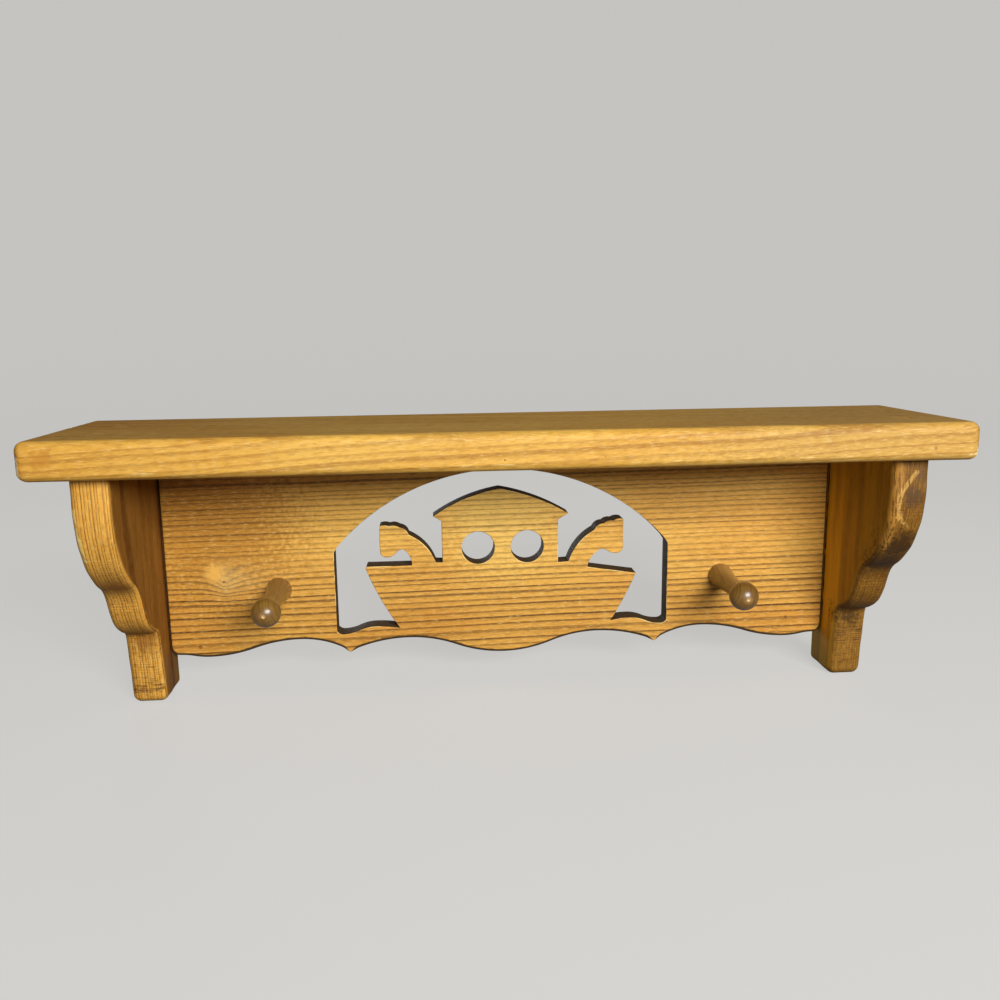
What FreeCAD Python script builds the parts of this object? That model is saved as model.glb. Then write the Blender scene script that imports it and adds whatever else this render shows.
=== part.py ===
"""Pine wall shelf: a board on two scroll brackets, a fretwork panel between them and two turned pegs.

Frame: X runs along the shelf, the front faces -Y, Z is up. The origin lies on the wall plane, midway
between the entry holes of the two keyhole hangers. Every piece is drawn with its heights measured from the
shelf's underside and is then lifted by hang_drop. Sizes are in millimetres.
"""
import FreeCAD, Part
import math
import os
import re

import Sketcher

SIZES = [
    ("shelf_length", "460", "shelf board, end to end"),
    ("shelf_thick", "19.05", "shelf board, planed stock"),
    ("front_overhang", "12", "shelf front beyond the brackets"),
    ("end_overhang", "18.75", "shelf end beyond a bracket's outer face"),
    ("corner_radius", "5", "shelf's front corners, seen from above"),
    ("top_roundover", "4.8", "shelf's upper front and end edges"),
    ("under_roundover", "3.4", "shelf's lower front and end edges"),
    ("bracket_thick", "19.05", "bracket, planed stock"),
    ("leg_depth", "27", "bracket leg, wall to front"),
    ("lobe_depth", "27", "lower lobe, in front of the leg"),
    ("neck_depth", "10.5", "hollow, in front of the lower lobe"),
    ("swell_depth", "23.5", "upper lobe, in front of the hollow"),
    ("face_height", "18", "straight front under the shelf"),
    ("swell_height", "43", "upper lobe"),
    ("neck_height", "14", "hollow between the lobes"),
    ("lobe_height", "21", "lower lobe"),
    ("leg_height", "42.4", "leg under the lower lobe"),
    ("cove_radius", "6", "inside corner over the leg"),
    ("toe_radius", "4.5", "leg's lower front corner"),
    ("edge_roundover", "3.2", "bracket's front edges"),
    ("panel_thick", "12", "fretwork panel"),
    ("web_height", "12", "wood over the crown of the arch"),
    ("arch_half", "97", "arch, centre to jamb"),
    ("arch_height", "95", "arch, jamb foot to crown"),
    ("window_radius", "9.525", "cabin's round windows"),
    ("end_drop", "6.7", "panel's end corner, under the jamb foot"),
    ("belly_inset", "21.2", "outer belly, from the panel's end"),
    ("belly_drop", "11.4", "outer belly, under the jamb foot"),
    ("crest_reach", "21.5", "outer crest, beyond the jamb"),
    ("crest_drop", "2.7", "outer crest, under the jamb foot"),
    ("cusp_inset", "7", "cusp, inside the jamb"),
    ("cusp_drop", "11", "cusp, under the jamb foot"),
    ("inner_inset", "41", "inner crest, inside the jamb"),
    ("inner_drop", "4", "inner crest, under the jamb foot"),
    ("centre_drop", "14.6", "middle belly, under the jamb foot"),
    ("cusp_radius", "2", "cusp, sanded round"),
    ("apron_ease", "1.6", "panel's lower front edge"),
    ("peg_shift", "15.6", "peg's axis, from the middle of its field towards the arch"),
    ("peg_rise", "28", "peg's axis, above the jamb foot"),
    ("peg_reach", "42.5", "centre of the peg's ball, from the panel"),
    ("ball_radius", "7.95", "peg's ball"),
    ("base_radius", "7.4", "peg's foot on the panel"),
    ("neck_radius", "4.4", "peg behind its ball"),
    ("shaft_hollow", "0.5", "bow of the peg's tapered shaft"),
    ("neck_fillet", "1.2", "peg, shaft into ball"),
    ("dimple_radius", "0.9", "turning mark on the ball"),
    ("dimple_depth", "0.5", "turning mark on the ball"),
    ("tenon_radius", "4.75", "peg's tenon"),
    ("tenon_length", "10", "peg's tenon"),
    ("dowel_radius", "3", "dowel"),
    ("dowel_length", "30", "dowel"),
    ("dowel_seat", "12", "dowel in a bracket or the shelf"),
    ("dowel_margin", "14", "upper end dowel, under the shelf"),
    ("low_dowel_margin", "20", "lower end dowel, above the panel's end corner"),
    ("pin_chamfer", "0.8", "ends of dowels, plugs and tenons"),
    ("glue_gap", "0.1", "room round a glued or screwed pin"),
    ("end_gap", "0.5", "room past a pin's end"),
    ("plug_radius", "4.75", "plug over a shelf screw"),
    ("plug_thick", "5", "plug over a shelf screw"),
    ("rear_screw_depth", "37", "rear shelf screw, from the wall"),
    ("front_screw_margin", "16", "front shelf screw, behind the bracket's front"),
    ("screw_radius", "2.1", "shelf screw's shank"),
    ("screw_length", "32", "shelf screw under its head"),
    ("screw_tip", "6", "shelf screw's point"),
    ("head_radius", "4", "shelf screw's head"),
    ("head_edge", "1", "shelf screw's head at its rim"),
    ("head_crown", "1.4", "dome on the shelf screw's head"),
    ("crown_bow", "0.15", "bow of that dome"),
    ("cross_reach", "1.7", "cross recess, centre to arm's end"),
    ("cross_half", "0.4", "cross recess, half an arm's width"),
    ("cross_depth", "1", "cross recess"),
    ("hang_drop", "52", "keyhole entry, under the shelf"),
    ("plate_margin", "1.6", "wood on each side of a hanger plate"),
    ("plate_height", "41", "hanger plate"),
    ("plate_thick", "1.6", "hanger plate"),
    ("plate_gap", "0.15", "room round a hanger plate"),
    ("entry_radius", "4.6", "keyhole's round entry"),
    ("slot_radius", "2.4", "keyhole's slot, half its width"),
    ("slot_rise", "9", "keyhole's slot, entry to rest"),
    ("room_gap", "0.6", "room round a wall screw's head"),
    ("room_depth", "8", "room behind a hanger plate"),
    ("pin_radius", "1.5", "plate screw's shank"),
    ("pin_length", "12", "plate screw"),
    ("pin_tip", "3", "plate screw's point"),
    ("pin_inset", "4.8", "plate screw, from the plate's end"),
    ("sink_land", "0.2", "plate left under a countersink"),
]

BRACKET_DEPTH = "(leg_depth + lobe_depth + neck_depth + swell_depth)"
SHELF_DEPTH = f"({BRACKET_DEPTH} + front_overhang)"
PANEL_HALF = "(shelf_length / 2 - end_overhang - bracket_thick)"
BRACKET_CENTRE = f"({PANEL_HALF} + bracket_thick / 2)"
SILL = "(web_height + arch_height)"
PANEL_END = f"({SILL} + end_drop)"
FIELD_MIDDLE = f"((arch_half + {PANEL_HALF}) / 2)"
PEG_X = f"({FIELD_MIDDLE} - peg_shift)"
PEG_Z = f"(peg_rise - {SILL})"
SCREW_Y = ["-rear_screw_depth", f"(front_screw_margin - {BRACKET_DEPTH})"]
DOWEL_Z = ["-dowel_margin", f"(low_dowel_margin - {PANEL_END})"]
COUNTERBORE = "(plug_thick + head_edge + head_crown + glue_gap)"
DOWEL_HOLE = "(dowel_radius + glue_gap)"
PLATE_HALF = "(bracket_thick / 2 - plate_margin)"
PLATE_STRAIGHT = f"(plate_height / 2 - {PLATE_HALF})"
PIN_Z = "(plate_height / 2 - pin_inset)"
SINK = "(plate_thick - sink_land)"
SIDES = [("left", "-"), ("right", "+")]
ENDS = ["rear", "front"]
LEVELS = ["upper", "lower"]
FACING = {
    "up": ((1, 0, 0), 0),
    "front": ((1, 0, 0), 90),
    "wall": ((1, 0, 0), -90),
    "right": ((0, 1, 0), 90),
}

# The fretwork is a stencil drawn at this size. Its places are measured from the centre line and up from the
# jamb foot, and arch_half and arch_height stretch it. A corner is (out, up, bow), as in outline().
STENCIL_HALF = 97
STENCIL_HEIGHT = 95
STRAIGHT = None
SMOOTH = "smooth"
SPRING_OUT = 95
SPRING_UP = 52
JAMB_TOP = 49
WATER = [
    (97, 1.7, STRAIGHT),
    (93, 0, 0.6),
    (84.3, 2, 0.46),
    (75.5, 4, -0.46),
]
LEFT_BOAT = WATER + [
    (60.8, 2.7, -0.4),
    (79.3, 38.6, -1.2),
    (78.6, 40, STRAIGHT),
    (52.8, 40, STRAIGHT),
    (57.4, 49.6, 1.4),
    (61.8, 47.4, 0.58),
    (66.3, 45.2, -0.58),
    (70.5, 47.4, -0.8),
    (70.4, 63.6, -0.3),
    (65, 63.5, -0.5),
    (59, 62.6, -0.7),
    (54, 58.2, -1),
    (38.8, 41.4, -2.3),
    (35, 41.2, STRAIGHT),
    (35, 65.5, STRAIGHT),
    (39.8, 68.5, STRAIGHT),
]
RIGHT_BOAT = WATER + [
    (63.6, 2.7, -0.4),
    (78.4, 31.3, -0.7),
    (49.5, 35.9, STRAIGHT),
    (57.5, 46.4, 1.5),
    (61.8, 45, 0.36),
    (66, 43.6, -0.36),
    (70.6, 46.7, -1),
    (70.6, 63.8, STRAIGHT),
    (64.6, 63.2, -0.7),
    (59.2, 61.7, -0.7),
    (53.6, 58, -1),
    (38.4, 39.6, -2.3),
    (32.3, 39.3, STRAIGHT),
    (32.3, 64.6, STRAIGHT),
    (38.3, 68.2, STRAIGHT),
]
RIDGE = (-1.5, 83.7, -2)
ROOF_BOW = -2.3
WINDOW_OUT = 14.25
WINDOW_UP = 49.3

doc = FreeCAD.newDocument("wall_shelf")
sheet = doc.addObject("Spreadsheet::Sheet", "Sizes")
for row, (alias, size, meaning) in enumerate(SIZES, start=1):
    sheet.set(f"A{row}", meaning)
    sheet.set(f"B{row}", size)
    sheet.setAlias(f"B{row}", alias)
doc.recompute()
pieces = []


def bind(text):
    """The expression with every size in it named as a cell of the sheet."""
    return re.sub(r"\b[a-z]+(?:_[a-z]+)+\b", r"Sizes.\g<0>", text)


def value(text):
    """What an expression comes to with the sheet's sizes."""
    return float(sheet.evalExpression(bind(text)))


def new_body(label):
    body = doc.addObject("PartDesign::Body", label)
    body.Label = label
    pieces.append(body)
    return body


def place(body, x="0", y="0", z="0", facing="up"):
    """Point a piece's own Z the way it faces, then move it. Its z counts from the shelf's underside."""
    axis, angle = FACING[facing]
    turned = FreeCAD.Rotation(FreeCAD.Vector(*axis), angle)
    body.Placement = FreeCAD.Placement(FreeCAD.Vector(), turned)
    body.setExpression("Placement.Base.x", bind(x))
    body.setExpression("Placement.Base.y", bind(y))
    body.setExpression("Placement.Base.z", bind(f"hang_drop + {z}"))


def sketch_on(body, name, role, offset="0"):
    """A sketch on one of the body's own planes, moved along the plane's normal."""
    sketch = body.newObject("Sketcher::SketchObject", name)
    plane = next(item for item in body.Origin.OriginFeatures if item.Role == role)
    sketch.AttachmentSupport = (plane, [""])
    sketch.MapMode = "FlatFace"
    sketch.setExpression("AttachmentOffset.Base.z", bind(offset))
    return sketch


def side_between(start, end, bow, heading):
    """One side of an outline: its geometry, its point numbers at start and end, and its last heading."""
    chord = end - start
    angle = math.atan2(chord.y, chord.x)
    if bow == SMOOTH:
        lean = math.remainder(angle - heading, 2 * math.pi)
        bow = -math.tan(lean / 2) * chord.Length / 2
    if bow == STRAIGHT:
        return Part.LineSegment(start, end), 1, 2, angle
    lean = -2 * math.atan2(2 * bow, chord.Length)
    left = FreeCAD.Vector(-chord.y, chord.x, 0).normalize()
    middle = (start + end) * 0.5 + left * bow
    if bow > 0:
        return Part.ArcOfCircle(end, middle, start), 2, 1, angle + lean
    return Part.ArcOfCircle(start, middle, end), 1, 2, angle + lean


def outline(sketch, corners):
    """Draw a closed outline with every corner held by its expressions.

    A corner is (x, y, bow). The side that arrives there is straight where bow is STRAIGHT, an arc that
    leaves the side before it smoothly where bow is SMOOTH, and otherwise an arc whose middle stands bow
    to the left of its chord.
    """
    spots = [FreeCAD.Vector(value(x), value(y), 0) for x, y, bow in corners]
    sides = []
    heading = None
    for index, (x, y, bow) in enumerate(corners):
        size = value(bow) if bow not in (STRAIGHT, SMOOTH) else bow
        sides.append(side_between(spots[index - 1], spots[index], size, heading))
        heading = sides[-1][3]
    sketch.addGeometry([side[0] for side in sides], False)
    rules = []
    sizes = {}
    for index, (x, y, bow) in enumerate(corners):
        before = (index - 1) % len(corners)
        geometry, first, last, heading = sides[index]
        joint = "Tangent" if bow == SMOOTH else "Coincident"
        rules.append(Sketcher.Constraint(joint, before, sides[before][2], index, first))
        sizes[len(rules)] = x
        rules.append(Sketcher.Constraint("DistanceX", -1, 1, index, last, spots[index].x))
        sizes[len(rules)] = y
        rules.append(Sketcher.Constraint("DistanceY", -1, 1, index, last, spots[index].y))
        if bow not in (STRAIGHT, SMOOTH):
            old_x, old_y, old_bow = corners[before]
            chord = f"((({x}) - ({old_x}))^2 + (({y}) - ({old_y}))^2)"
            sizes[len(rules)] = f"{chord} / (8 * abs({bow})) + abs({bow}) / 2"
            rules.append(Sketcher.Constraint("Radius", index, geometry.Radius))
    hold(sketch, rules, sizes)


def circles(sketch, rounds):
    """Circles given as (x, y, radius)."""
    up = FreeCAD.Vector(0, 0, 1)
    rules = []
    sizes = {}
    for index, (x, y, radius) in enumerate(rounds):
        centre = FreeCAD.Vector(value(x), value(y), 0)
        sketch.addGeometry(Part.Circle(centre, up, value(radius)), False)
        sizes[len(rules)] = x
        rules.append(Sketcher.Constraint("DistanceX", -1, 1, index, 3, centre.x))
        sizes[len(rules)] = y
        rules.append(Sketcher.Constraint("DistanceY", -1, 1, index, 3, centre.y))
        sizes[len(rules)] = radius
        rules.append(Sketcher.Constraint("Radius", index, value(radius)))
    hold(sketch, rules, sizes)


def hold(sketch, rules, sizes):
    """Add the constraints and bind those that have a size to the sheet."""
    sketch.addConstraint(rules)
    for number, text in sizes.items():
        sketch.setExpression(f"Constraints[{number}]", bind(text))


def pad(body, sketch, length):
    feature = body.newObject("PartDesign::Pad", f"{sketch.Label}_pad")
    feature.Profile = sketch
    feature.setExpression("Length", bind(length))
    doc.recompute()
    return feature


def pocket(body, sketch, depth, forward=False):
    """Cut a sketch into the body, against its plane's normal or forward along it. No depth goes through."""
    before = body.Shape.Volume
    feature = body.newObject("PartDesign::Pocket", f"{sketch.Label}_pocket")
    feature.Profile = sketch
    feature.Reversed = forward
    if depth is None:
        feature.Type = "ThroughAll"
    else:
        feature.setExpression("Length", bind(depth))
    doc.recompute()
    if not body.Shape.Volume < before:
        raise RuntimeError(f"{body.Label}: {sketch.Label} cuts nothing")
    return feature


def spin(body, corners):
    """A turned piece: half its outline, as (radius, height), spun about Z."""
    sketch = sketch_on(body, "half_outline", "XZ_Plane")
    outline(sketch, corners)
    feature = body.newObject("PartDesign::Revolution", "turning")
    feature.Profile = sketch
    feature.ReferenceAxis = (sketch, ["V_Axis"])
    feature.Angle = 360
    doc.recompute()
    return feature


def drill(body, name, role, spots, radius, depth, offset="0", forward=False):
    """Round holes of one size from one plane."""
    sketch = sketch_on(body, name, role, offset)
    circles(sketch, [(x, y, radius) for x, y in spots])
    return pocket(body, sketch, depth, forward)


def dress(body, kind, name, base, size_name, size, test):
    """Fillet or chamfer those edges of the base feature that pass the test."""
    names = [f"Edge{number}" for number, edge in enumerate(base.Shape.Edges, start=1) if test(edge)]
    feature = body.newObject(f"PartDesign::{kind}", name)
    feature.Base = (base, names)
    feature.setExpression(size_name, bind(size))
    doc.recompute()
    return feature


def fillet(body, name, base, radius, test):
    return dress(body, "Fillet", name, base, "Radius", radius, test)


def chamfer(body, name, base, size, test):
    return dress(body, "Chamfer", name, base, "Size", size, test)


def near(number, text):
    return abs(number - value(text)) < 1e-4


def lies_at(edge, axis, text):
    """Whether the whole edge lies in the plane axis = text."""
    low = getattr(edge.BoundBox, f"{axis}Min")
    high = getattr(edge.BoundBox, f"{axis}Max")
    return near(low, text) and near(high, text)


def obround(x, low, high, radius):
    """Corners of an upright slot with round ends."""
    return [
        (f"{x} + {radius}", high, STRAIGHT),
        (f"{x} - {radius}", high, SMOOTH),
        (f"{x} - {radius}", low, STRAIGHT),
        (f"{x} + {radius}", low, SMOOTH),
    ]


def shelf_board():
    body = new_body("shelf_board")
    half = "shelf_length / 2"
    plan = sketch_on(body, "plan", "XY_Plane")
    outline(plan, [
        (f"-{half}", "0", STRAIGHT),
        (f"-{half}", f"-{SHELF_DEPTH}", STRAIGHT),
        (half, f"-{SHELF_DEPTH}", STRAIGHT),
        (half, "0", STRAIGHT),
    ])
    board = pad(body, plan, "shelf_thick")
    board = fillet(body, "corners", board, "corner_radius", lambda edge: (
        lies_at(edge, "Y", f"-{SHELF_DEPTH}") and not lies_at(edge, "Z", "0")
        and not lies_at(edge, "Z", "shelf_thick")))
    board = fillet(body, "top_edges", board, "top_roundover", lambda edge: (
        lies_at(edge, "Z", "shelf_thick") and not lies_at(edge, "Y", "0")))
    fillet(body, "under_edges", board, "under_roundover", lambda edge: (
        lies_at(edge, "Z", "0") and not lies_at(edge, "Y", "0")))
    over_brackets = [(f"{sign}{BRACKET_CENTRE}", y) for side, sign in SIDES for y in SCREW_Y]
    drill(body, "plug_holes", "XY_Plane", over_brackets, "plug_radius + glue_gap", COUNTERBORE,
          "shelf_thick")
    drill(body, "screw_holes", "XY_Plane", over_brackets, "screw_radius + glue_gap", None, "shelf_thick")
    over_panel = [(f"{sign}{FIELD_MIDDLE}", "-panel_thick / 2") for side, sign in SIDES]
    drill(body, "dowel_holes", "XY_Plane", over_panel, DOWEL_HOLE, "dowel_seat + end_gap", forward=True)
    place(body)


def stencil(out, up, bow, sign=""):
    """A place on the fretwork stencil, as expressions in the panel's plane."""
    x = f"{sign}{out} * arch_half / {STENCIL_HALF}"
    z = f"{up} * arch_height / {STENCIL_HEIGHT} - {SILL}"
    if bow is not STRAIGHT:
        bow = f"{bow} * arch_height / {STENCIL_HEIGHT}"
    return x, z, bow


def backwards(corners, last_bow):
    """The same corners walked the other way, with last_bow on the side that arrives at the first of them."""
    bows = [last_bow] + [bow for out, up, bow in corners[:0:-1]]
    return [(out, up, bow) for (out, up, old), bow in zip(corners[::-1], bows)]


def fretwork():
    """The opening: up the left jamb, over the arch, down the right jamb and back along the boat."""
    arch = [
        stencil(STENCIL_HALF, JAMB_TOP, STRAIGHT, "-"),
        stencil(SPRING_OUT, SPRING_UP, STRAIGHT, "-"),
        stencil(SPRING_OUT, SPRING_UP, STENCIL_HEIGHT - SPRING_UP),
        stencil(STENCIL_HALF, JAMB_TOP, STRAIGHT),
    ]
    right = [stencil(*corner) for corner in RIGHT_BOAT]
    left = [stencil(*corner, "-") for corner in backwards(LEFT_BOAT, ROOF_BOW)]
    return arch + right + [stencil(*RIDGE)] + left


def rise_of(start, end, turns):
    """How far an arc that starts level stands off its chord. With two turns, each is half of an S."""
    (x0, z0), (x1, z1) = start, end
    run = f"abs(({x1}) - ({x0}))"
    fall = f"abs(({z1}) - ({z0}))"
    length = f"sqrt({run}^2 + {fall}^2)"
    return f"{length} * ({length} - {run}) / ({2 * turns} * {fall})"


def swing(start, end, first, second):
    """An S from one level stretch to the next: two equal arcs that bow to opposite sides."""
    (x0, z0), (x1, z1) = start, end
    rise = rise_of(start, end, 2)
    halfway = (f"(({x0}) + ({x1})) / 2", f"(({z0}) + ({z1})) / 2")
    return [(*halfway, f"{first}{rise}"), (x1, z1, f"{second}{rise}")]


def apron_points():
    """Turning points of the panel's lower edge, from its middle out to the right end."""
    return [
        ("0", f"-({SILL} + centre_drop)"),
        ("(arch_half - inner_inset)", f"-({SILL} + inner_drop)"),
        ("(arch_half - cusp_inset)", f"-({SILL} + cusp_drop)"),
        ("(arch_half + crest_reach)", f"-({SILL} + crest_drop)"),
        (f"({PANEL_HALF} - belly_inset)", f"-({SILL} + belly_drop)"),
        (PANEL_HALF, f"-{PANEL_END}"),
    ]


def apron():
    """The panel's waved lower edge, from its left end to its right end: bellies, crests and two cusps."""
    middle, inner, cusp, crest, belly, end = apron_points()
    right = swing(middle, inner, "-", "")
    right.append((*cusp, rise_of(inner, cusp, 1)))
    right.append((*crest, rise_of(crest, cusp, 1)))
    right += swing(crest, belly, "", "-")
    right += swing(belly, end, "-", "")
    mirrored = [(f"-({x})", z, bow) for x, z, bow in right]
    return backwards(mirrored, STRAIGHT) + [(*middle, right[0][2])] + right


def back_panel():
    body = new_body("back_panel")
    face = sketch_on(body, "face", "XZ_Plane")
    outline(face, [(PANEL_HALF, "0", STRAIGHT), (f"-{PANEL_HALF}", "0", STRAIGHT)] + apron())
    board = pad(body, face, "panel_thick")
    cusp_x, cusp_z = apron_points()[2]
    board = fillet(body, "cusps", board, "cusp_radius", lambda edge: (
        lies_at(edge, "Z", cusp_z) and (lies_at(edge, "X", cusp_x) or lies_at(edge, "X", f"-{cusp_x}"))))
    fillet(body, "lower_edge", board, "apron_ease", lambda edge: (
        lies_at(edge, "Y", "-panel_thick") and not lies_at(edge, "Z", "0")
        and not lies_at(edge, "X", PANEL_HALF) and not lies_at(edge, "X", f"-{PANEL_HALF}")))
    opening = sketch_on(body, "opening", "XZ_Plane")
    outline(opening, fretwork())
    pocket(body, opening, None, forward=True)
    windows = [stencil(WINDOW_OUT, WINDOW_UP, STRAIGHT, sign)[:2] for side, sign in SIDES]
    drill(body, "windows", "XZ_Plane", windows, "window_radius", None, forward=True)
    pegs = [(f"{sign}{PEG_X}", PEG_Z) for side, sign in SIDES]
    drill(body, "peg_holes", "XZ_Plane", pegs, "tenon_radius + glue_gap", "tenon_length + end_gap",
          "panel_thick")
    end_spots = [("-panel_thick / 2", z) for z in DOWEL_Z]
    end_depth = "dowel_length - dowel_seat + end_gap"
    for side, sign in SIDES:
        drill(body, f"{side}_dowel_holes", "YZ_Plane", end_spots, DOWEL_HOLE, end_depth,
              f"{sign}{PANEL_HALF}", forward=side == "left")
    top_spots = [(f"{sign}{FIELD_MIDDLE}", "-panel_thick / 2") for side, sign in SIDES]
    drill(body, "top_dowel_holes", "XY_Plane", top_spots, DOWEL_HOLE, end_depth)
    place(body)


def bracket(side):
    """A scroll bracket: its profile, wall at Y = 0, padded from one side face to the other."""
    body = new_body(f"{side}_bracket")
    profile = sketch_on(body, "profile", "YZ_Plane")
    levels = ["0", "face_height", "swell_height", "neck_height", "lobe_height", "leg_height"]
    drops = [" + ".join(levels[:count]) for count in range(1, len(levels) + 1)]
    outline(profile, [
        (f"-{BRACKET_DEPTH}", "0", STRAIGHT),
        (f"-{BRACKET_DEPTH}", f"-({drops[1]})", STRAIGHT),
        ("-(leg_depth + lobe_depth + neck_depth)", f"-({drops[2]})", SMOOTH),
        ("-(leg_depth + lobe_depth)", f"-({drops[3]})", SMOOTH),
        ("-leg_depth", f"-({drops[4]})", SMOOTH),
        ("-leg_depth", f"-({drops[5]})", STRAIGHT),
        ("0", f"-({drops[5]})", STRAIGHT),
        ("0", "0", STRAIGHT),
    ])
    plank = pad(body, profile, "bracket_thick")
    plank = fillet(body, "cove", plank, "cove_radius", lambda edge: (
        lies_at(edge, "Y", "-leg_depth") and lies_at(edge, "Z", f"-({drops[4]})")))
    plank = fillet(body, "toe", plank, "toe_radius", lambda edge: (
        lies_at(edge, "Y", "-leg_depth") and lies_at(edge, "Z", f"-({drops[5]})")))
    fillet(body, "front_edges", plank, "edge_roundover", lambda edge: (
        (lies_at(edge, "X", "0") or lies_at(edge, "X", "bracket_thick"))
        and not lies_at(edge, "Y", "0") and not lies_at(edge, "Z", "0")))
    middle = "bracket_thick / 2"
    drill(body, "screw_holes", "XY_Plane", [(middle, y) for y in SCREW_Y], "screw_radius + glue_gap",
          f"screw_length - (shelf_thick - {COUNTERBORE}) + end_gap")
    inner_face = "bracket_thick" if side == "left" else "0"
    drill(body, "dowel_holes", "YZ_Plane", [("-panel_thick / 2", z) for z in DOWEL_Z], DOWEL_HOLE,
          "dowel_seat + end_gap", inner_face, forward=side == "right")
    hanger_recess(body, middle)
    near_edge = f"-{PANEL_HALF} - bracket_thick" if side == "left" else PANEL_HALF
    place(body, near_edge)


def hanger_recess(body, middle):
    """The shallow bed of a hanger plate, the room behind its keyhole and the holes for its screws."""
    plate_z = "(slot_rise / 2 - hang_drop)"
    bed = sketch_on(body, "plate_bed", "XZ_Plane")
    outline(bed, obround(middle, f"{plate_z} - {PLATE_STRAIGHT}", f"{plate_z} + {PLATE_STRAIGHT}",
                         f"({PLATE_HALF} + plate_gap)"))
    pocket(body, bed, "plate_thick", forward=True)
    room = sketch_on(body, "head_room", "XZ_Plane")
    outline(room, obround(middle, "-hang_drop", "slot_rise - hang_drop", "(entry_radius + room_gap)"))
    pocket(body, room, "plate_thick + room_depth", forward=True)
    pins = [(middle, f"{plate_z} {step} {PIN_Z}") for step in "+-"]
    drill(body, "pin_holes", "XZ_Plane", pins, "pin_radius + glue_gap", "pin_length + end_gap", forward=True)


def peg(side, sign):
    """A turned peg: tenon, tapered shaft and ball. Its height runs out from the panel's face."""
    body = new_body(f"{side}_peg")
    neck = ("neck_radius", "(peg_reach - sqrt(ball_radius^2 - neck_radius^2))")
    tip = ("dimple_radius", "(peg_reach + sqrt(ball_radius^2 - dimple_radius^2))")
    half_chord_squared = f"((({tip[0]}) - ({neck[0]}))^2 + (({tip[1]}) - ({neck[1]}))^2) / 4"
    turned = spin(body, [
        ("0", "-tenon_length", STRAIGHT),
        ("tenon_radius - pin_chamfer", "-tenon_length", STRAIGHT),
        ("tenon_radius", "pin_chamfer - tenon_length", STRAIGHT),
        ("tenon_radius", "0", STRAIGHT),
        ("base_radius", "0", STRAIGHT),
        (*neck, "shaft_hollow"),
        (*tip, f"sqrt(ball_radius^2 - {half_chord_squared}) - ball_radius"),
        ("0", f"{tip[1]} - dimple_depth", STRAIGHT),
    ])
    fillet(body, "neck", turned, "neck_fillet", lambda edge: lies_at(edge, "Z", neck[1]))
    place(body, f"{sign}{PEG_X}", "-panel_thick", PEG_Z, "front")


def rod(label, radius, length, top_chamfer=True):
    """A dowel or plug: a rod along Z with its ends chamfered. A plug's top stays square, to be flush."""
    body = new_body(label)
    section = sketch_on(body, "section", "XY_Plane")
    circles(section, [("0", "0", radius)])
    blank = pad(body, section, length)
    chamfer(body, "ends", blank, "pin_chamfer", lambda edge: (
        lies_at(edge, "Z", "0") or (top_chamfer and lies_at(edge, "Z", length))))
    return body


def cross_recess(body, top):
    """A cross-shaped driver recess in a screw's head."""
    corners = [
        ("cross_reach", "cross_half", STRAIGHT),
        ("cross_half", "cross_half", STRAIGHT),
        ("cross_half", "cross_reach", STRAIGHT),
    ]
    for quarter in range(3):
        corners += [(f"-({y})", x, STRAIGHT) for x, y, bow in corners[-3:]]
    sketch = sketch_on(body, "cross", "XY_Plane", top)
    outline(sketch, corners)
    pocket(body, sketch, "cross_depth")


def shelf_screw(label):
    """A round-head screw. Its head stands on Z = 0 and its shank points down."""
    body = new_body(label)
    spin(body, [
        ("0", "-screw_length", STRAIGHT),
        ("screw_radius", "screw_tip - screw_length", STRAIGHT),
        ("screw_radius", "0", STRAIGHT),
        ("head_radius", "0", STRAIGHT),
        ("head_radius", "head_edge", STRAIGHT),
        ("cross_reach", "head_edge + head_crown", "-crown_bow"),
        ("0", "head_edge + head_crown", STRAIGHT),
    ])
    cross_recess(body, "head_edge + head_crown")
    return body


def plate_screw(label):
    """A countersunk screw. The top of its head lies on Z = 0 and its shank points down."""
    body = new_body(label)
    spin(body, [
        ("0", "-pin_length", STRAIGHT),
        ("pin_radius", "pin_tip - pin_length", STRAIGHT),
        ("pin_radius", f"-{SINK}", STRAIGHT),
        (f"pin_radius + {SINK}", "0", STRAIGHT),
        ("0", "0", STRAIGHT),
    ])
    cross_recess(body, "0")
    return body


def keyhole_plate(side, sign):
    """A hanger plate with round ends, a keyhole and two countersunk holes."""
    body = new_body(f"{side}_keyhole_plate")
    blank = sketch_on(body, "blank", "XZ_Plane")
    outline(blank, obround("0", f"-{PLATE_STRAIGHT}", PLATE_STRAIGHT, PLATE_HALF))
    pad(body, blank, "plate_thick")
    slot = sketch_on(body, "slot", "XZ_Plane")
    outline(slot, obround("0", "-slot_rise / 2", "slot_rise / 2", "slot_radius"))
    pocket(body, slot, None, forward=True)
    drill(body, "entry", "XZ_Plane", [("0", "-slot_rise / 2")], "entry_radius", None, forward=True)
    pins = [("0", f"{step}{PIN_Z}") for step in "+-"]
    drilled = drill(body, "pin_holes", "XZ_Plane", pins, "pin_radius + glue_gap", None, forward=True)
    chamfer(body, "sinks", drilled, SINK, lambda edge: (
        lies_at(edge, "Y", "0") and edge.Curve.TypeId == "Part::GeomCircle"
        and near(edge.Curve.Radius, "pin_radius + glue_gap")))
    place(body, f"{sign}{BRACKET_CENTRE}", z="slot_rise / 2 - hang_drop")


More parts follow.
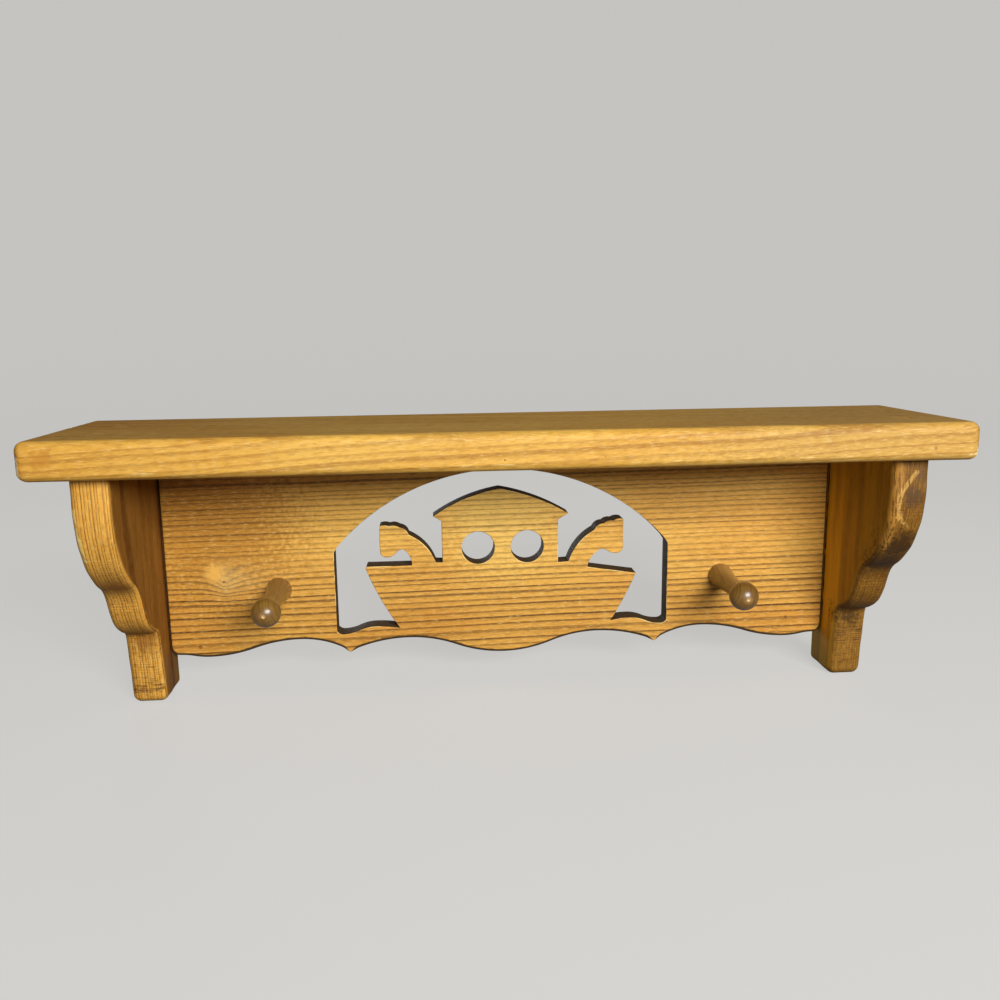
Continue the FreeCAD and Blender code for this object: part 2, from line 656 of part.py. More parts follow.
shelf_board()
back_panel()
for side, sign in SIDES:
    bracket(side)
    peg(side, sign)
    for end, y in zip(ENDS, SCREW_Y):
        place(shelf_screw(f"{side}_{end}_shelf_screw"), f"{sign}{BRACKET_CENTRE}", y,
              f"shelf_thick - {COUNTERBORE}")
        plug = rod(f"{side}_{end}_plug", "plug_radius", "plug_thick", top_chamfer=False)
        place(plug, f"{sign}{BRACKET_CENTRE}", y, "shelf_thick - plug_thick")
    dowel_start = "dowel_seat" if side == "left" else "(dowel_length - dowel_seat)"
    for level, z in zip(LEVELS, DOWEL_Z):
        dowel = rod(f"{side}_{level}_dowel", "dowel_radius", "dowel_length")
        place(dowel, f"{sign}{PANEL_HALF} - {dowel_start}", "-panel_thick / 2", z, "right")
    top_dowel = rod(f"{side}_top_dowel", "dowel_radius", "dowel_length")
    place(top_dowel, f"{sign}{FIELD_MIDDLE}", "-panel_thick / 2", "dowel_seat - dowel_length")
    keyhole_plate(side, sign)
    for level, step in zip(LEVELS, "+-"):
        place(plate_screw(f"{side}_{level}_plate_screw"), f"{sign}{BRACKET_CENTRE}",
              z=f"slot_rise / 2 - hang_drop {step} {PIN_Z}", facing="wall")
doc.recompute()

for item in doc.Objects:
    if "Invalid" in item.State or "Error" in item.State:
        raise RuntimeError(f"{item.Label} failed: {item.State}")
for piece in pieces:
    if piece.Shape.isNull() or not piece.Shape.isValid() or len(piece.Shape.Solids) != 1:
        raise RuntimeError(f"{piece.Label} is not one sound solid")

os.makedirs("parts", exist_ok=True)
for piece in pieces:
    piece.Shape.exportStep(f"parts/{piece.Label}.step")
    print(f"{piece.Label}: {piece.Shape.Volume:.1f} cubic mm")
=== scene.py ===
"""Looks of the pine wall shelf: a stained board on two scroll brackets, a fretwork panel and two turned pegs.

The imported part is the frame. The boards, pegs, plugs and hanger plates are drawn again here with sanded
edges, saw marks and turning marks, and every piece gets a procedural finish. Lengths are in metres.
"""
import math
from collections import namedtuple

import bpy
import numpy as np
from mathutils import Matrix, Vector
from mathutils.geometry import delaunay_2d_cdt


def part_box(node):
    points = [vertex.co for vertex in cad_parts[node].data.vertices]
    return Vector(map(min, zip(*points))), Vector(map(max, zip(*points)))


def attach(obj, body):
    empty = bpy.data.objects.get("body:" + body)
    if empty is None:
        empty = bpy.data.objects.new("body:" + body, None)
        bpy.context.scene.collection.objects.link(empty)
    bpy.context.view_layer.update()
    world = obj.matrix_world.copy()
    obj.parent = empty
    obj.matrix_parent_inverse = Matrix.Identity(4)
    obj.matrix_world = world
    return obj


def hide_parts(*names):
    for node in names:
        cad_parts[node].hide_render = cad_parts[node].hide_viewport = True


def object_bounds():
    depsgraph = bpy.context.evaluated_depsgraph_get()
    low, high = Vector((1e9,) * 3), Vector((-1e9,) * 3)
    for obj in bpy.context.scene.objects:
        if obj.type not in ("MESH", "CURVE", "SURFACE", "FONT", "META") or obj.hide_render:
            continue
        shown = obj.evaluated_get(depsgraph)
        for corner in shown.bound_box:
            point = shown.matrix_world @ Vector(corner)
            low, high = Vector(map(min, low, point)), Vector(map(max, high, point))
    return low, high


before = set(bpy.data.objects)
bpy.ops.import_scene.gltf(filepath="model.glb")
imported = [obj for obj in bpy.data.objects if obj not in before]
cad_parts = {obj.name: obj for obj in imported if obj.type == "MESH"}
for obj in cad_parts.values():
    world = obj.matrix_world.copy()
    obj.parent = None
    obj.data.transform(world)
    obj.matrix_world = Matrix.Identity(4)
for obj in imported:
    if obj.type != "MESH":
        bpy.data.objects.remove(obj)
cad_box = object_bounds()

MM = 0.001
BODY = "root"
SIDES = {"left": -1, "right": 1}

# Bows of an outline's sides that aren't a length, and the least lean that makes an arc
STRAIGHT = None
SMOOTH = "smooth"
LEAST_LEAN = 1e-6

# How outlines are stepped out, sanded and waved
SHORTEST_SPREAD = 0.35
SANDING_STEPS = 12
TIP_TURN = math.radians(50)
WAVE_LIFT = 1.4

# How skins are made: points that count as one, the fill that leaves holes open, rounds, strips and creases
WELD = 1e-7
FILL_WELD = 1e-9
HOLES_OUT = 2
ROUND_POINTS = 7
HAIR = 0.15 * MM
CREASE = math.radians(38)
MARKS = ("rub_and_glint", "cut")


def packed_box(name):
    """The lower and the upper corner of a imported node."""
    return [np.array(corner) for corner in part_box(name)]


SHELF_LOW, SHELF_HIGH = packed_box("shelf_board")
PANEL_LOW, PANEL_HIGH = packed_box("back_panel")
BRACKET_BOX = {side: packed_box(f"{side}_bracket") for side in SIDES}
PEG_BOX = {side: packed_box(f"{side}_peg") for side in SIDES}
PLUGS = [f"{side}_{end}_plug" for side in SIDES for end in ("rear", "front")]
PLUG_BOX = {name: packed_box(name) for name in PLUGS}
PLATE_BOX = {side: packed_box(f"{side}_keyhole_plate") for side in SIDES}
DOWELS = {
    "X": [f"{side}_{level}_dowel" for side in SIDES for level in ("upper", "lower")],
    "Z": [f"{side}_top_dowel" for side in SIDES],
}
SCREWS = [f"{side}_{end}_shelf_screw" for side in SIDES for end in ("rear", "front")]
SCREWS += [f"{side}_{level}_plate_screw" for side in SIDES for level in ("upper", "lower")]

GLUE_GAP = 0.1 * MM
PLUG_BORE = 7.5 * MM
TENON_RADIUS, TENON_LENGTH, TENON_BORE = 4.75 * MM, 10 * MM, 10.5 * MM
PLATE_GAP, ROOM_GAP, ROOM_DEPTH = 0.15 * MM, 0.6 * MM, 8 * MM
ENTRY_RADIUS, SLOT_RADIUS, SLOT_RISE = 4.6 * MM, 2.4 * MM, 9 * MM
PIN_RADIUS, PIN_INSET, PIN_BORE = 1.5 * MM, 4.8 * MM, 12.5 * MM


# Outlines


def side_points(start, end, bow, heading, spacing):
    """One side of an outline, without its start, and the heading at its end.

    An arc that turns by twice the lean has, at a share t of its way, a chord from its start as long as the
    whole chord times sin(t lean) / sin(lean), turned from the first heading by t lean.
    """
    chord = end - start
    length = math.hypot(*chord)
    angle = math.atan2(chord[1], chord[0])
    lean = 0.0
    if bow == SMOOTH:
        lean = math.remainder(angle - heading, 2 * math.pi)
    elif bow is not STRAIGHT:
        lean = -2 * math.atan2(2 * bow, length)
    bent = abs(lean) > LEAST_LEAN
    way = length * lean / math.sin(lean) if bent else length
    count = max(1, math.ceil(way / spacing))
    share = np.arange(1, count + 1) / count
    reach = np.sin(lean * share) / math.sin(lean) if bent else share
    turned = angle - lean + lean * share
    points = start + length * reach[:, None] * np.stack([np.cos(turned), np.sin(turned)], 1)
    points[-1] = end
    return points, angle + lean


def bow_of(corner):
    """The bow of the side that runs to a corner, which is straight where the corner gives none."""
    return (*corner, STRAIGHT)[2]


def trace(corners, spacing, closed=True):
    """An outline as points, and for each point the number of the corner that its side runs to.

    A corner is (x, y) after a straight side and (x, y, bow) after an arc. The bow is how far the arc stands
    off its chord, to the left, or SMOOTH where it goes on from the last heading. An open outline starts at
    its first corner.
    """
    spots = [np.array(corner[:2]) for corner in corners]
    points = [] if closed else [spots[0][None]]
    owners = [] if closed else [0]
    heading = 0.0
    for number in range(0 if closed else 1, len(corners)):
        bow = bow_of(corners[number])
        side, heading = side_points(spots[number - 1], spots[number], bow, heading, spacing)
        points.append(side)
        owners += [number] * len(side)
    return np.concatenate(points), np.array(owners)


def outward(path, closed):
    """For each point of a path with the wood on its left, the mitred unit step away from the wood.

    It is the sum of the two neighbouring sides' right-hand normals over one plus their dot product, which is
    kept from going below SHORTEST_SPREAD.
    """
    ahead = np.roll(path, -1, 0) - path
    ahead /= np.maximum(np.hypot(ahead[:, 0], ahead[:, 1]), WELD)[:, None]
    normal = np.stack([ahead[:, 1], -ahead[:, 0]], 1)
    if not closed:
        normal[-1] = normal[-2]
    before = np.roll(normal, 1, 0)
    if not closed:
        before[0] = normal[0]
    spread = 1 + (normal * before).sum(1)
    return (normal + before) / np.maximum(spread, SHORTEST_SPREAD)[:, None]


def sanded(path, reach):
    """The closed path averaged along itself with a bell-shaped weight, which rounds its sharp corners."""
    steps = np.arange(-SANDING_STEPS, SANDING_STEPS + 1)
    weight = np.exp(-0.5 * (steps / reach) ** 2)
    weight /= weight.sum()
    shifted = np.stack([np.roll(path, -step, 0) for step in steps])
    return np.tensordot(weight, shifted, 1)


def tip_room(path, reach):
    """A share that falls to a tenth at the sharp tips of a closed outline, so that no round crosses itself.

    A tip is a sharp turn to the left, and the share grows with the way walked from it, up to one. An outline
    without tips is measured from a place far before its start.
    """
    far_before = [-1.0]
    ahead = np.roll(path, -1, 0) - path
    before = np.roll(ahead, 1, 0)
    turn = np.arctan2(before[:, 0] * ahead[:, 1] - before[:, 1] * ahead[:, 0], (before * ahead).sum(1))
    way = way_along(np.concatenate([path, path[:1]]))
    tips = way[:-1][turn > TIP_TURN]
    gap = np.abs(way[:-1, None] - np.concatenate([tips - way[-1], tips, tips + way[-1], far_before]))
    return np.clip(gap.min(1) / reach, 0.1, 1.0)


def slow_wave(along, lengths, seed):
    """An uneven wave between about -1 and 1: sines of the lengths with seeded starts, averaged and lifted."""
    starts = np.random.default_rng(seed).uniform(0, 2 * np.pi, len(lengths))
    waves = np.sin(2 * np.pi * np.asarray(along)[..., None] / np.array(lengths) + starts)
    return waves.mean(-1) * WAVE_LIFT


def way_along(path):
    """The distance walked to each point of a path."""
    steps = np.hypot(*np.diff(path, axis=0).T)
    return np.concatenate([[0], np.cumsum(steps)])


# Surfaces


def edge_rows(thick, top, under, support, walls=0, arris=0.0):
    """Insets and heights of an edge: a row for each point of the path, a column for each of the profile.

    From above: a flat strip, a quarter round of radius top, the wall, a round of radius under and a flat
    strip. A quarter round stands r (1 - sin a) in and r (1 - cos a) down. The lower round has only the angles
    past the arris. Also gives the share of wear and of bare wall that each column takes.
    """
    turn = np.linspace(0, np.pi / 2, ROUND_POINTS)
    top_in = top[:, None] * (1 - np.sin(turn))
    top_up = thick - top[:, None] * (1 - np.cos(turn))
    low_turn = np.linspace(arris, np.pi / 2, ROUND_POINTS)
    under_in = under[:, None] * (math.cos(arris) - np.cos(low_turn))
    under_up = under[:, None] * (1 - np.sin(low_turn))
    share = np.arange(1, walls + 1) / (walls + 1)
    wall_up = top_up[:, -1:] + (under_up[:, :1] - top_up[:, -1:]) * share
    level = np.zeros((len(top), 1))
    support = level + np.reshape(support, (-1, 1))
    inset = np.hstack([top_in[:, :1] + support, top_in, wall_up * 0, under_in, under_in[:, -1:] + support])
    height = np.hstack([level + thick, top_up, wall_up, under_up, level])
    wear = np.concatenate([[0], np.sin(2 * turn), np.zeros(walls), 0.5 * np.sin(2 * turn), [0]])
    wall = np.concatenate([[0], np.sin(turn) ** 2, np.ones(walls), np.cos(turn) ** 2, [0]])
    return inset, height, wear, wall


def carry(path, closed, inset, height):
    """A profile carried along a path: each point steps back into the wood by its inset, at its height."""
    flat = path[:, None] - outward(path, closed)[:, None] * inset[..., None]
    return np.concatenate([flat, height[..., None]], 2)


def weave(rows, columns, closed):
    """Triangles of a grid of points, its last row joined to its first where it is closed."""
    number = np.arange(rows * columns).reshape(rows, columns)
    if closed:
        number = np.concatenate([number, number[:1]])
    a, b, c, d = number[:-1, :-1], number[:-1, 1:], number[1:, 1:], number[1:, :-1]
    return np.concatenate([np.stack([a, b, c], -1).reshape(-1, 3), np.stack([a, c, d], -1).reshape(-1, 3)])


def fill(loops):
    """Triangles of a flat face with holes, as numbers into the joined loops, by constrained Delaunay."""
    ends = np.cumsum([len(loop) for loop in loops])
    numbers = [np.arange(end - len(loop), end).tolist() for loop, end in zip(loops, ends)]
    return np.array(delaunay_2d_cdt(np.concatenate(loops).tolist(), [], numbers, HOLES_OUT, FILL_WELD)[2])


class Plane:
    """A drawing plane: where its x, its y and the height above it run in the part's frame."""

    def __init__(self, x, y, height, origin=(0.0, 0.0, 0.0)):
        self.axes = np.array([x, y, height], float)
        self.origin = np.array(origin, float)

    def place(self, points):
        return points @ self.axes + self.origin

    def lifted(self, height):
        return Plane(*self.axes, self.origin + self.axes[2] * height)


TOP = Plane((1, 0, 0), (0, 1, 0), (0, 0, 1))
FRONT = Plane((1, 0, 0), (0, 0, 1), (0, -1, 0))
END = Plane((0, 1, 0), (0, 0, 1), (1, 0, 0))
WALL = Plane((0, 0, 1), (1, 0, 0), (0, 1, 0))


class Skin:
    """Patches of one piece's surface, each drawn on a plane, stitched together where their points meet."""

    def __init__(self):
        self.points = []
        self.faces = []
        self.marks = []

    def add(self, plane, points, faces, rub_and_glint=0.0, cut=0.0):
        start = sum(len(patch) for patch in self.points)
        shape = points.shape[:-1]
        self.points.append(plane.place(points.reshape(-1, 3)))
        self.faces.append(faces + start)
        self.marks.append(np.stack([np.broadcast_to(mark, shape).ravel() for mark in (rub_and_glint, cut)], 1))

    def band(self, plane, grid, closed, rub_and_glint=0.0, cut=0.0):
        """A grid of points that faces outwards where its rows walk with the wood on their left."""
        self.add(plane, grid, weave(*grid.shape[:2], closed), rub_and_glint, cut)

    def face(self, plane, loops, height, up, cut=0.0):
        """A flat face at one height between loops, the first outside and the others round its holes."""
        loops = [loop[:, :2] for loop in loops]
        flat = np.concatenate(loops)
        faces = fill(loops)
        points = np.column_stack([flat, np.full(len(flat), height)])
        self.add(plane, points, faces if up else faces[:, ::-1], cut=cut)

    def caps(self, plane, grids, thick, holes=()):
        """The flat faces between the grids' first columns, with holes, and between their last columns."""
        self.face(plane, [*(grid[:, 0] for grid in grids), *holes], thick, True)
        self.face(plane, [grid[:, -1] for grid in grids], 0.0, False)

    def pocket(self, plane, loop, top, floor, holes=()):
        """A straight-walled pocket from one height down to a flat floor, inside a loop walked clockwise.

        The rim keeps the finish of the face round it, and the wall is raw from a hair below the rim.
        """
        height = np.ones((len(loop), 1)) * [top, top - HAIR, floor]
        self.band(plane, carry(loop, True, height * 0, height), True, cut=np.array([0.0, 1.0, 1.0]))
        self.face(plane, [loop, *holes], floor, True, cut=1.0)

    def stitched(self):
        """Points, faces and marks of all patches, with points that meet made one."""
        points = np.concatenate(self.points)
        grid = np.round(points / WELD).astype(np.int64)
        first, number = np.unique(grid, axis=0, return_index=True, return_inverse=True)[1:]
        faces = number.reshape(-1)[np.concatenate(self.faces)]
        sound = (faces != np.roll(faces, 1, 1)).all(1)
        return points[first], faces[sound], np.concatenate(self.marks)[first]


def make_object(name, skin, finish):
    """A smooth-shaded object with sharp creases, which carries the skin's marks as attributes."""
    points, faces, marks = skin.stitched()
    mesh = bpy.data.meshes.new(name)
    mesh.vertices.add(len(points))
    mesh.vertices.foreach_set("co", points.astype(np.float32).ravel())
    mesh.loops.add(faces.size)
    mesh.loops.foreach_set("vertex_index", faces.astype(np.int32).ravel())
    mesh.polygons.add(len(faces))
    mesh.polygons.foreach_set("loop_start", np.arange(0, faces.size, 3, dtype=np.int32))
    mesh.polygons.foreach_set("use_smooth", np.ones(len(faces), bool))
    mesh.update(calc_edges=True)
    for label, values in zip(MARKS, marks.T):
        layer = mesh.attributes.new(label, "FLOAT", "POINT")
        layer.data.foreach_set("value", values.astype(np.float32))
    mesh.set_sharp_from_angle(angle=CREASE)
    mesh.materials.append(finish)
    made = bpy.data.objects.new(name, mesh)
    bpy.context.scene.collection.objects.link(made)
    return made


def make_piece(name, skin, finish, slot, *nodes):
    """A piece on the part's body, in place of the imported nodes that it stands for."""
    piece = make_object(name, skin, finish)
    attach(piece, BODY)
    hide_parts(*nodes)


# Finishes


def stain(red, green, blue):
    """A colour given as eight-bit display values, turned into the light that a shader works with."""
    shown = np.array([red, green, blue]) / 255
    light = np.where(shown <= 0.04045, shown / 12.92, ((shown + 0.055) / 1.055) ** 2.4)
    return (*light.tolist(), 1.0)


class Finish:
    """One material's nodes, with a short call for each kind that the finishes are mixed from."""

    def __init__(self, name):
        self.material = bpy.data.materials.new(name)
        self.material.use_nodes = True
        self.tree = self.material.node_tree
        self.shader = self.tree.nodes["Principled BSDF"]
        place = self.tree.nodes.new("ShaderNodeTexCoord")
        self.spot = place.outputs["Object"]
        self.facing = place.outputs["Normal"]

    def feed(self, socket, given):
        """Link a socket to another one, or set its value. Nothing given leaves it as it is."""
        if isinstance(given, bpy.types.NodeSocket):
            self.tree.links.new(given, socket)
        elif given is not None:
            socket.default_value = given

    def node(self, kind, *inputs, **settings):
        made = self.tree.nodes.new(kind)
        for name, setting in settings.items():
            setattr(made, name, setting)
        for socket, given in zip(made.inputs, inputs):
            self.feed(socket, given)
        return made

    def maths(self, operation, *values, clamp=False):
        return self.node("ShaderNodeMath", *values, operation=operation, use_clamp=clamp).outputs[0]

    def times(self, value, factor):
        return self.maths("MULTIPLY", value, factor)

    def plus(self, value, more, clamp=False):
        return self.maths("ADD", value, more, clamp=clamp)

    def vector(self, operation, *values):
        made = self.node("ShaderNodeVectorMath", *values, operation=operation)
        return made.outputs["Value" if operation in ("LENGTH", "DOT_PRODUCT") else "Vector"]

    def scaled(self, spot, scale):
        return self.vector("MULTIPLY", spot, scale)

    def drawn_out(self, vector, share):
        """A fixed vector times a share."""
        made = self.node("ShaderNodeVectorMath", vector, operation="SCALE")
        self.feed(made.inputs["Scale"], share)
        return made.outputs["Vector"]

    def split(self, spot):
        return self.node("ShaderNodeSeparateXYZ", spot).outputs

    def facing_along(self, letter):
        """How squarely the surface faces along an axis, to either side, from 0 to 1."""
        axis = tuple(float(letter == name) for name in "XYZ")
        return self.maths("ABSOLUTE", self.vector("DOT_PRODUCT", self.facing, axis))

    def noise(self, spot, swells, detail=2, rough=0.5):
        """Noise with so many swells to the metre along each axis, the last number for those not given."""
        spot = self.scaled(spot, (*swells, swells[-1])[:3])
        return self.node("ShaderNodeTexNoise", spot, None, 1, detail, rough).outputs["Fac"]

    def swing(self, spot, swells, size):
        """Noise about zero, size high at its usual peaks, which lie a third from the noise's middle."""
        level = self.maths("SUBTRACT", self.noise(spot, swells), 0.5)
        return self.times(level, 3 * size)

    def step(self, value, low, high, start=0.0, end=1.0):
        """A smooth rise from start to end as the value goes from low to high."""
        made = self.node("ShaderNodeMapRange", value, low, high, start, end, interpolation_type="SMOOTHSTEP")
        return made.outputs["Result"]

    def ramp(self, value, stops):
        """A level that runs straight from stop to stop, each given as (place, level)."""
        made = self.node("ShaderNodeValToRGB", value)
        elements = made.color_ramp.elements
        while len(elements) < len(stops):
            elements.new(0.5)
        for element, (place, level) in zip(elements, stops):
            element.position = place
            element.color = (level, level, level, 1.0)
        return made.outputs["Color"]

    def mix(self, share, first, second):
        """The first colour with a share of the second. The node's colours are its sockets 6 and 7."""
        made = self.node("ShaderNodeMix", data_type="RGBA", clamp_factor=True)
        for number, given in ((0, share), (6, first), (7, second)):
            self.feed(made.inputs[number], given)
        return made.outputs[2]

    def mark(self, name):
        return self.node("ShaderNodeAttribute", attribute_name=name).outputs["Fac"]

    def bump(self, height, distance, strength):
        made = self.node("ShaderNodeBump", strength, distance)
        self.feed(made.inputs["Height"], height)
        return made.outputs["Normal"]

    def scratch(self, start, end, width):
        """A soft line between two places: one inside half the width of it, none beyond the width."""
        run = Vector(end) - Vector(start)
        away = self.vector("SUBTRACT", self.spot, tuple(start))
        ahead = self.vector("DOT_PRODUCT", away, tuple(run))
        foot = self.drawn_out(tuple(run), self.maths("DIVIDE", ahead, run.length_squared, clamp=True))
        gap = self.vector("LENGTH", self.vector("SUBTRACT", away, foot))
        return self.step(gap, width / 2, width, 1.0, 0.0)

    def settle(self, colour, roughness, normal, coat=0.0, coat_roughness=0.2, metallic=0.0, specular=0.5):
        """The material, once its shader has a colour, a roughness, bumps and gloss."""
        for name, given in {
            "Base Color": colour, "Roughness": roughness, "Normal": normal, "Coat Weight": coat,
            "Coat Roughness": coat_roughness, "Metallic": metallic, "Specular IOR Level": specular,
        }.items():
            self.feed(self.shader.inputs[name], given)
        return self.material


# Late wood through one ring: (place in the ring, share), and how blunt the rings' dip under a knot is.
LATE_WOOD = [(0.0, 0.0), (0.42, 0.07), (0.62, 0.32), (0.73, 0.9), (0.86, 1.0), (0.96, 0.9), (1.0, 0.0)]
KNOT_EASE = 0.2
Honey = namedtuple("Honey", "early late red pale")


def grain_spot(finish, along):
    """The place on the piece with the grain's direction first and the two directions across it after."""
    parts = finish.split(finish.spot)
    order = along + "XYZ".replace(along, "")
    return finish.node("ShaderNodeCombineXYZ", *[parts[name] for name in order]).outputs[0]


def dip_round_knot(finish, spot, knot):
    """Rings that dip under a knot: the height grows near it, by a cusp along the grain times a bell across.

    The cusp is the exponential of minus the distance along the grain over its reach, which differs to the
    left and to the right, eased at its point. The bell is that of minus the squared distance across over its
    reach. Also gives the share of the knot's own pale eye.
    """
    (middle_x, middle_z), (reach_left, reach_right, reach_z), drop = knot
    away = finish.vector("SUBTRACT", spot, (middle_x, 0.0, middle_z))
    parts = finish.split(away)
    left = finish.maths("DIVIDE", parts["X"], -reach_left)
    beside = finish.maths("MAXIMUM", left, finish.maths("DIVIDE", parts["X"], reach_right))
    beside = finish.maths("SQRT", finish.maths("MULTIPLY_ADD", beside, beside, KNOT_EASE ** 2))
    above = finish.maths("DIVIDE", parts["Z"], reach_z)
    fall = finish.maths("MULTIPLY_ADD", above, above, finish.maths("SUBTRACT", beside, KNOT_EASE))
    share = finish.maths("EXPONENT", finish.times(fall, -1.0))
    return finish.vector("ADD", spot, finish.drawn_out((0.0, 0.0, drop), share)), share


def year_rings(finish, spot, pith, ring, wander, tighten=0.0):
    """Late wood of the year rings, from 0 to 1.

    The ring number is how much further a place lies from the pith than the origin does, bent by slow noise
    that is drawn out along the grain, over the ring's width. tighten narrows the rings with that distance.
    Late wood rises through each ring and ends sharply, and each ring has its own depth.
    """
    across = finish.scaled(finish.vector("SUBTRACT", spot, (0.0, *pith)), (0.0, 1.0, 1.0))
    distance = finish.vector("LENGTH", across)
    for swells, share in (((4, 14), 1), ((25, 120), 0.07)):
        distance = finish.plus(distance, finish.swing(spot, swells, share * wander))
    past = finish.maths("SUBTRACT", distance, math.hypot(*pith))
    number = finish.times(past, finish.maths("MULTIPLY_ADD", past, tighten, 1 / ring))
    uneven = finish.node("ShaderNodeTexNoise", None, number, 0.6, 2.0, noise_dimensions="1D")
    number = finish.plus(number, finish.times(uneven.outputs["Fac"], 1.4))
    late = finish.ramp(finish.maths("FRACT", number), LATE_WOOD)
    own = finish.node("ShaderNodeTexWhiteNoise", None, finish.maths("FLOOR", number), noise_dimensions="1D")
    depth = finish.maths("MULTIPLY_ADD", own.outputs["Value"], 0.45, 0.55)
    return finish.times(late, depth)


def dabbed(finish, colour, dabs):
    """The colour with ragged round dabs of other tones. A dab is (place, size in mm, tone, strength)."""
    for place, across, tone, strength in dabs:
        size = across * MM
        gap = finish.vector("LENGTH", finish.vector("SUBTRACT", finish.spot, place))
        ragged = finish.plus(gap, finish.swing(finish.spot, (420, 420), size * 0.4))
        colour = finish.mix(finish.step(ragged, size * 0.3, size, strength, 0.0), colour, stain(*tone))
    return colour


def stained_pine(name, along, pith, ring, tones, wander, contrast, slope=0.0, tighten=0.0, heart=None,
                 knots=(), shade_and_light_dabs=(), scuffs_and_glints=(), spots=(), sawn_tone=(84, 62, 34), figure=0.15, cheek=None):
    """Pine with honey stain and lacquer: year rings, fibres, blotches, worn edges with painted highlights and
    dark sawn walls.

    slope is how far the grain climbs along the piece, in radians. heart is (axis, start, end): the reddish
    heart wood with its darker rings comes in between these places along the axis. cheek is (tone, share,
    share in the heart, thinning): a tone over the faces to the left and right, thinner by that share in
    streaks along the grain; on the left bracket it is painted shade. shade_and_light_dabs are broad dabs of
    painted shade and painted light under the grain, spots are small ones on it, a few of them painted shade,
    and each of scuffs_and_glints is ((start, end), width in mm, tone, strength).
    """
    finish = Finish(name)
    early, late_tone, red, pale = (stain(*tone) for tone in tones)
    straight = finish.node("ShaderNodeMapping", grain_spot(finish, along), None, (0.0, slope, 0.0)).outputs[0]
    spot, eye = straight, 0.0
    for knot in knots:
        spot, share = dip_round_knot(finish, spot, knot)
        eye = finish.plus(share, eye, clamp=True)
    late = year_rings(finish, spot, pith, ring, wander, tighten)
    fading = finish.step(finish.noise(straight, (7, 160)), 0.25, 0.6, 0.75, 1.0)
    late = finish.times(late, fading)
    blotch = finish.noise(straight, (9, 30), 3)
    fibre = finish.noise(straight, (210, 1500), 3, 0.65)
    curl = finish.noise(straight, (150, 520))
    reddish = finish.step(blotch, 0.38, 0.68, 0.0, 0.6)
    core = 1.0
    if heart:
        axis, start, end = heart
        core = finish.step(finish.split(finish.spot)[axis], start, end)
        reddish = finish.maths("MULTIPLY_ADD", core, 0.6, reddish, clamp=True)
        late = finish.times(late, finish.maths("MULTIPLY_ADD", core, 0.3, 0.7))
    colour = dabbed(finish, finish.mix(reddish, early, red), shade_and_light_dabs)
    colour = finish.mix(finish.step(curl, 0.45, 0.68, 0.0, figure), colour, late_tone)
    colour = finish.mix(finish.times(late, contrast), colour, late_tone)
    colour = finish.mix(finish.times(eye, 0.3), colour, pale) if knots else colour
    colour = finish.mix(finish.step(fibre, 0.52, 0.76, 0.0, 0.5), colour, late_tone)
    colour = finish.mix(finish.step(fibre, 0.48, 0.26, 0.0, 0.55), colour, pale)
    if cheek:
        tone, outside, inside, thin = cheek
        depth = finish.maths("MULTIPLY_ADD", core, inside - outside, outside)
        streak = finish.noise(straight, (12, 140), 4, 0.6)
        depth = finish.times(depth, finish.step(streak, 0.36, 0.66, 1 + thin / 4, 1 - thin))
        share = finish.times(finish.step(finish.facing_along("X"), 0.85, 0.99), depth)
        colour = finish.mix(share, colour, stain(*tone))
    colour = finish.mix(finish.step(finish.facing_along(along), 0.4, 0.95, 0.0, 0.6), colour, late_tone)
    colour = dabbed(finish, colour, spots)
    broken = finish.step(finish.noise(straight, (160, 900)), 0.36, 0.55)
    for ends, width, tone, strength in scuffs_and_glints:
        line = finish.times(finish.scratch(*ends, width * MM), broken)
        colour = finish.mix(finish.times(line, strength), colour, stain(*tone))
    chips = finish.swing(finish.spot, (260, 700), 0.3)
    # Dark sawn wood; on the panel's lower edge also painted shade where the round turns down.
    sawn = finish.step(finish.plus(finish.mark("cut"), chips), 0.3, 0.75)
    colour = finish.mix(sawn, colour, stain(*sawn_tone))
    # Pale edges: wear, with painted highlight on the shelf's corners and arris and on the fretwork's edges.
    rubbed_and_glinting = finish.step(finish.plus(finish.mark("rub_and_glint"), chips), 0.3, 0.9)
    colour = finish.mix(rubbed_and_glinting, colour, pale)
    roughness = finish.maths("MULTIPLY_ADD", sawn, 0.25, finish.step(fibre, 0.25, 0.8, 0.5, 0.62))
    normal = finish.bump(finish.maths("MULTIPLY_ADD", fibre, 0.6, late), 0.1 * MM, 0.4)
    return finish.settle(colour, roughness, normal, specular=0.3)


def turned_birch(name):
    """Brown-stained birch on the lathe: faint rings along the axis, long fibres and a glossy coat."""
    finish = Finish(name)
    spot = grain_spot(finish, "Y")
    late = year_rings(finish, spot, (9 * MM, 14 * MM), 1.7 * MM, 1.2 * MM)
    fibre = finish.noise(spot, (190, 2400), 3, 0.6)
    blotch = finish.noise(spot, (60, 110), 3)
    colour = finish.mix(finish.step(blotch, 0.3, 0.7), stain(156, 119, 50), stain(130, 95, 38))
    colour = finish.mix(finish.times(late, 0.45), colour, stain(84, 50, 18))
    colour = finish.mix(finish.step(fibre, 0.35, 0.75, 0.0, 0.35), colour, stain(92, 56, 20))
    colour = finish.mix(finish.step(finish.facing_along("Y"), 0.6, 1.0, 0.0, 0.35), colour, stain(96, 60, 22))
    # A pale ring round the peg's tip and the pale lathe dimple: painted highlight.
    patchy = finish.step(finish.noise(finish.spot, (300, 300)), 0.4, 0.6)
    colour = finish.mix(finish.times(patchy, finish.mark("rub_and_glint")), colour, stain(190, 140, 80))
    colour = finish.mix(finish.mark("cut"), colour, stain(214, 176, 116))
    roughness = finish.step(blotch, 0.2, 0.8, 0.34, 0.48)
    normal = finish.bump(fibre, 0.05 * MM, 0.3)
    return finish.settle(colour, roughness, normal, coat=1.0, coat_roughness=0.27, specular=0.3)


